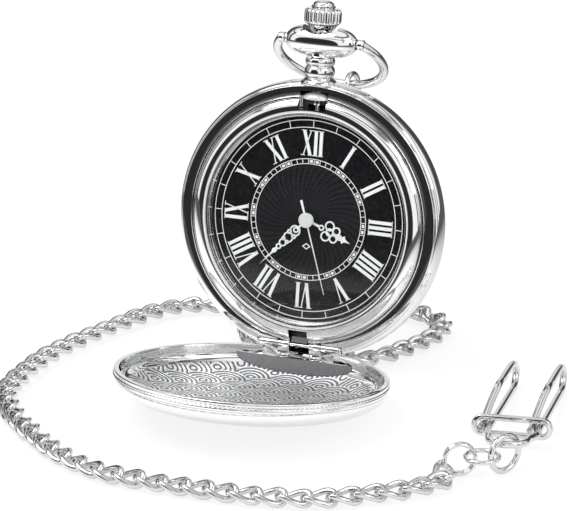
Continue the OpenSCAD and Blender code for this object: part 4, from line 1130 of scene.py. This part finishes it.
class WATCH_OT_dial(bpy.types.Operator):
    """Make the dial, its minute circles, chapter ring and Roman numerals"""
    bl_idname = "watch.dial"
    bl_label = "Dial"

    def execute(self, context):
        disc = turned(soften([(0.85, -1.0), (18.2, -1.0), (18.2, DIAL_TOP), (0.85, DIAL_TOP)], 0.03), 200)
        finished(disc, "dial_disc", CASE, "case", ["dial"], "dial")
        marks = [self.circle(TRACK, 0.12), self.circle(TRACK_IN, 0.12), self.circle(CHAPTER_OUT, 0.11),
                 self.circle(CHAPTER_IN + 0.11, 0.11)]
        tick = plate(oblong(0.06, TRACK_IN - 0.02, TRACK - 0.1), DIAL_TOP, PRINT)
        marks += [another(tick, turn(-15 * k, "Z")) for k in range(24)]
        cell = plate(oblong(0.05, CHAPTER_IN + 0.05, CHAPTER_OUT - 0.05), DIAL_TOP, PRINT)
        marks += [another(cell, turn(-6 * k - 3, "Z")) for k in range(60)]
        middle = (CHAPTER_IN + CHAPTER_OUT) / 2
        dot = plate(oblong(0.26, middle - 0.2, middle + 0.2), DIAL_TOP, PRINT)
        marks += [another(dot, turn(-30 * hour - side * 6, "Z")) for hour in range(12) for side in (0, 1)]
        lozenge = plate([(0, -3.9), (-0.75, -4.45), (0, -5.0), (0.75, -4.45)], DIAL_TOP, PRINT)
        marks.append(combined(lozenge, plate([(0, -4.1), (-0.48, -4.45), (0, -4.8), (0.48, -4.45)], -1, 1)))
        for part in (tick, cell, dot):
            bpy.data.objects.remove(part)
        marks += self.numerals()
        finished(joined(marks), "dial_marks", CASE, "case", ["dial_print"], "white")
        return {"FINISHED"}

    def circle(self, outer, width):
        return washer(outer - width, outer, DIAL_TOP, PRINT, 200)

    def numerals(self):
        """Serif numerals, each letter cut once and copied round the dial with its head outwards."""
        tall = TRACK_IN * 0.275
        serif = 0.13

        def bar(points):
            return plate(points, DIAL_TOP, PRINT)

        def foot(x, width, y):
            """A thin serif: a bar across the foot or the head of a stem."""
            return bar([(x - width, y), (x + width, y), (x + width, y + serif), (x - width, y + serif)])

        def stem(low_x, high_x, width):
            return bar([(low_x - width / 2, 0), (low_x + width / 2, 0), (high_x + width / 2, tall),
                        (high_x - width / 2, tall)])

        thick, thin = 0.56, 0.17
        letters = {
            "I": (0.92, [stem(0, 0, thick), foot(0, 0.42, 0), foot(0, 0.42, tall - serif)]),
            "V": (2.05, [stem(0.05, -0.62, thick), stem(0.12, 0.72, thin), foot(-0.62, 0.45, tall - serif),
                         foot(0.72, 0.33, tall - serif)]),
            "X": (2.05, [stem(0.62, -0.62, thick), stem(-0.62, 0.62, thin), foot(-0.62, 0.42, tall - serif),
                         foot(0.66, 0.36, tall - serif), foot(-0.66, 0.36, 0), foot(0.62, 0.42, 0)]),
        }
        shapes = {key: (width, joined(parts)) for key, (width, parts) in letters.items()}
        made = []
        for hour, word in enumerate("XII I II III IIII V VI VII VIII IX X XI".split()):
            width = sum(shapes[letter][0] for letter in word)
            x = -width / 2
            for letter in word:
                step, shape = shapes[letter]
                made.append(another(shape, turn(-30 * hour, "Z") @ shift(x + step / 2, TRACK_IN * 0.69)))
                x += step
        for _, shape in shapes.values():
            bpy.data.objects.remove(shape)
        return made


# ---- hands ----

LEAF = 0.15                        # thickness of the sheet that the pierced hands are cut from


class WATCH_OT_hands(bpy.types.Operator):
    """Make the pierced hour and minute hands, the second hand and the hub"""
    bl_idname = "watch.hands"
    bl_label = "Hands"

    def execute(self, context):
        self.hand("hour_leaf", -112, -0.35, "hours", "hour_hand", [
            self.disc(1.1), self.stem(0.42, 0.9, 2.5), self.loop(0, 2.75, 0.5), self.loop(-0.95, 3.95, 0.85),
            self.loop(0.95, 3.95, 0.85), self.loop(0, 4.35, 0.7), self.loop(-0.72, 5.35, 0.72),
            self.loop(0.72, 5.35, 0.72), self.stem(0.3, 4.9, 6.6), self.loop(0, 6.2, 0.5),
            self.tip((0.22, 6.5), (0.72, 6.95), (0.24, 7.3), 8.3)])
        self.hand("minute_leaf", -223.5, -0.05, "minutes", "minute_hand", [
            self.disc(0.85), self.stem(0.36, 0.7, 1.9), self.loop(0, 2.75, 0.95), self.loop(0, 2.55, 0.5),
            self.loop(0, 4.4, 0.9), self.loop(-0.55, 3.6, 0.42), self.loop(0.55, 3.6, 0.42),
            self.loop(0, 5.75, 0.68), self.loop(-0.42, 5.15, 0.36), self.loop(0.42, 5.15, 0.36),
            self.loop(0, 6.75, 0.5),
            self.tip((0.16, 7.1), (0.42, 7.75), (0.14, 8.4), 11.4)])
        self.hand("second_needle", -162, 0.22, "seconds", "second_hand", [
            self.disc(0.5), plate([(-0.21, -3.4), (0.21, -3.4), (0.12, 0), (0.045, 12.6), (-0.045, 12.6),
                                   (-0.12, 0)], 0, 0.13)])
        hub = turned(soften([(0, 0.37), (1.12, 0.37), (1.27, 0.44), (1.22, 0.53), (0.6, 0.58), (0.3, 0.585),
                             (0, 0.585)], 0.05), 64)
        finished(hub, "hand_hub", CASE, "seconds", ["hand_cap"], "hub")
        return {"FINISHED"}

    def hand(self, name, angle, height, body, node, parts):
        place = CASE @ shift(0, 0, height) @ turn(angle, "Z")
        finished(bevelled(joined(parts), 0.025), name, place, body, [node], "white")

    def disc(self, radius):
        return washer(0.2, radius, 0, LEAF, 48)

    def stem(self, width, low, high):
        return plate(oblong(width / 2, low, high), 0, LEAF)

    def tip(self, root, barb, neck, point):
        """An arrowhead: three points of its right side, mirrored, and the height of its point."""
        side = (root, barb, neck)
        return plate([(-x, y) for x, y in side] + [(0, point)] + list(side[::-1]), 0, LEAF)

    def loop(self, x, y, radius):
        return moved(washer(radius - 0.25, radius, 0, LEAF, 36), shift(x, y))


# ---- movement ----

class WATCH_OT_movement(bpy.types.Operator):
    """Give the movement, the stem and the seals their finishes"""
    bl_idname = "watch.movement"
    bl_label = "Movement and seals"

    FINISH = {
        "clear_seal": "crystal_gasket", "rubber": "back_gasket", "chrome": "push_sleeve",
        "steel": "winding_stem catch_spring lift_spring train_bridge rotor stator quartz_can battery_strap"
                 " setting_lever movement_screws",
        "brass": "hour_wheel minute_wheel centre_wheel third_wheel fourth_wheel fifth_wheel setting_wheel"
                 " sliding_pinion",
        "holder": "movement_ring", "plate": "main_plate", "copper": "coil", "board": "circuit_board",
        "cell": "battery",
    }

    def execute(self, context):
        for finish, names in self.FINISH.items():
            for name in names.split():
                node = frame["nodes"].get(name)
                if node is None:
                    raise RuntimeError("the frame has no " + name)
                node.data.materials.clear()
                node.data.materials.append(finish_for(finish))
        return {"FINISHED"}


# ---- panel and registration ----

OPERATORS = (WATCH_OT_stage, WATCH_OT_chain, WATCH_OT_clip, WATCH_OT_case, WATCH_OT_pendant, WATCH_OT_catch,
             WATCH_OT_cover, WATCH_OT_dial, WATCH_OT_hands, WATCH_OT_movement)


class WATCH_PT_build(bpy.types.Panel):
    """Lists the pieces in the order in which they are made"""
    bl_idname = "WATCH_PT_build"
    bl_label = "Pocket watch"
    bl_space_type = "VIEW_3D"
    bl_region_type = "UI"
    bl_category = "Watch"

    def draw(self, context):
        layout = self.layout
        for group in (context.scene.watch_sizes, context.scene.watch_colours):
            box = layout.box()
            for name in group.__annotations__:
                box.prop(group, name)
        for operator in OPERATORS:
            layout.operator(operator.bl_idname)


CLASSES = (WatchSizes, WatchColours, *OPERATORS, WATCH_PT_build)


def register():
    for cls in CLASSES:
        bpy.utils.register_class(cls)
    bpy.types.Scene.watch_sizes = bpy.props.PointerProperty(type=WatchSizes)
    bpy.types.Scene.watch_colours = bpy.props.PointerProperty(type=WatchColours)


def unregister():
    del bpy.types.Scene.watch_colours
    del bpy.types.Scene.watch_sizes
    for cls in reversed(CLASSES):
        bpy.utils.unregister_class(cls)


def main():
    register()
    for operator in OPERATORS:
        group, name = operator.bl_idname.split(".")
        getattr(getattr(bpy.ops, group), name)()


if __name__ == "__main__":
    main()
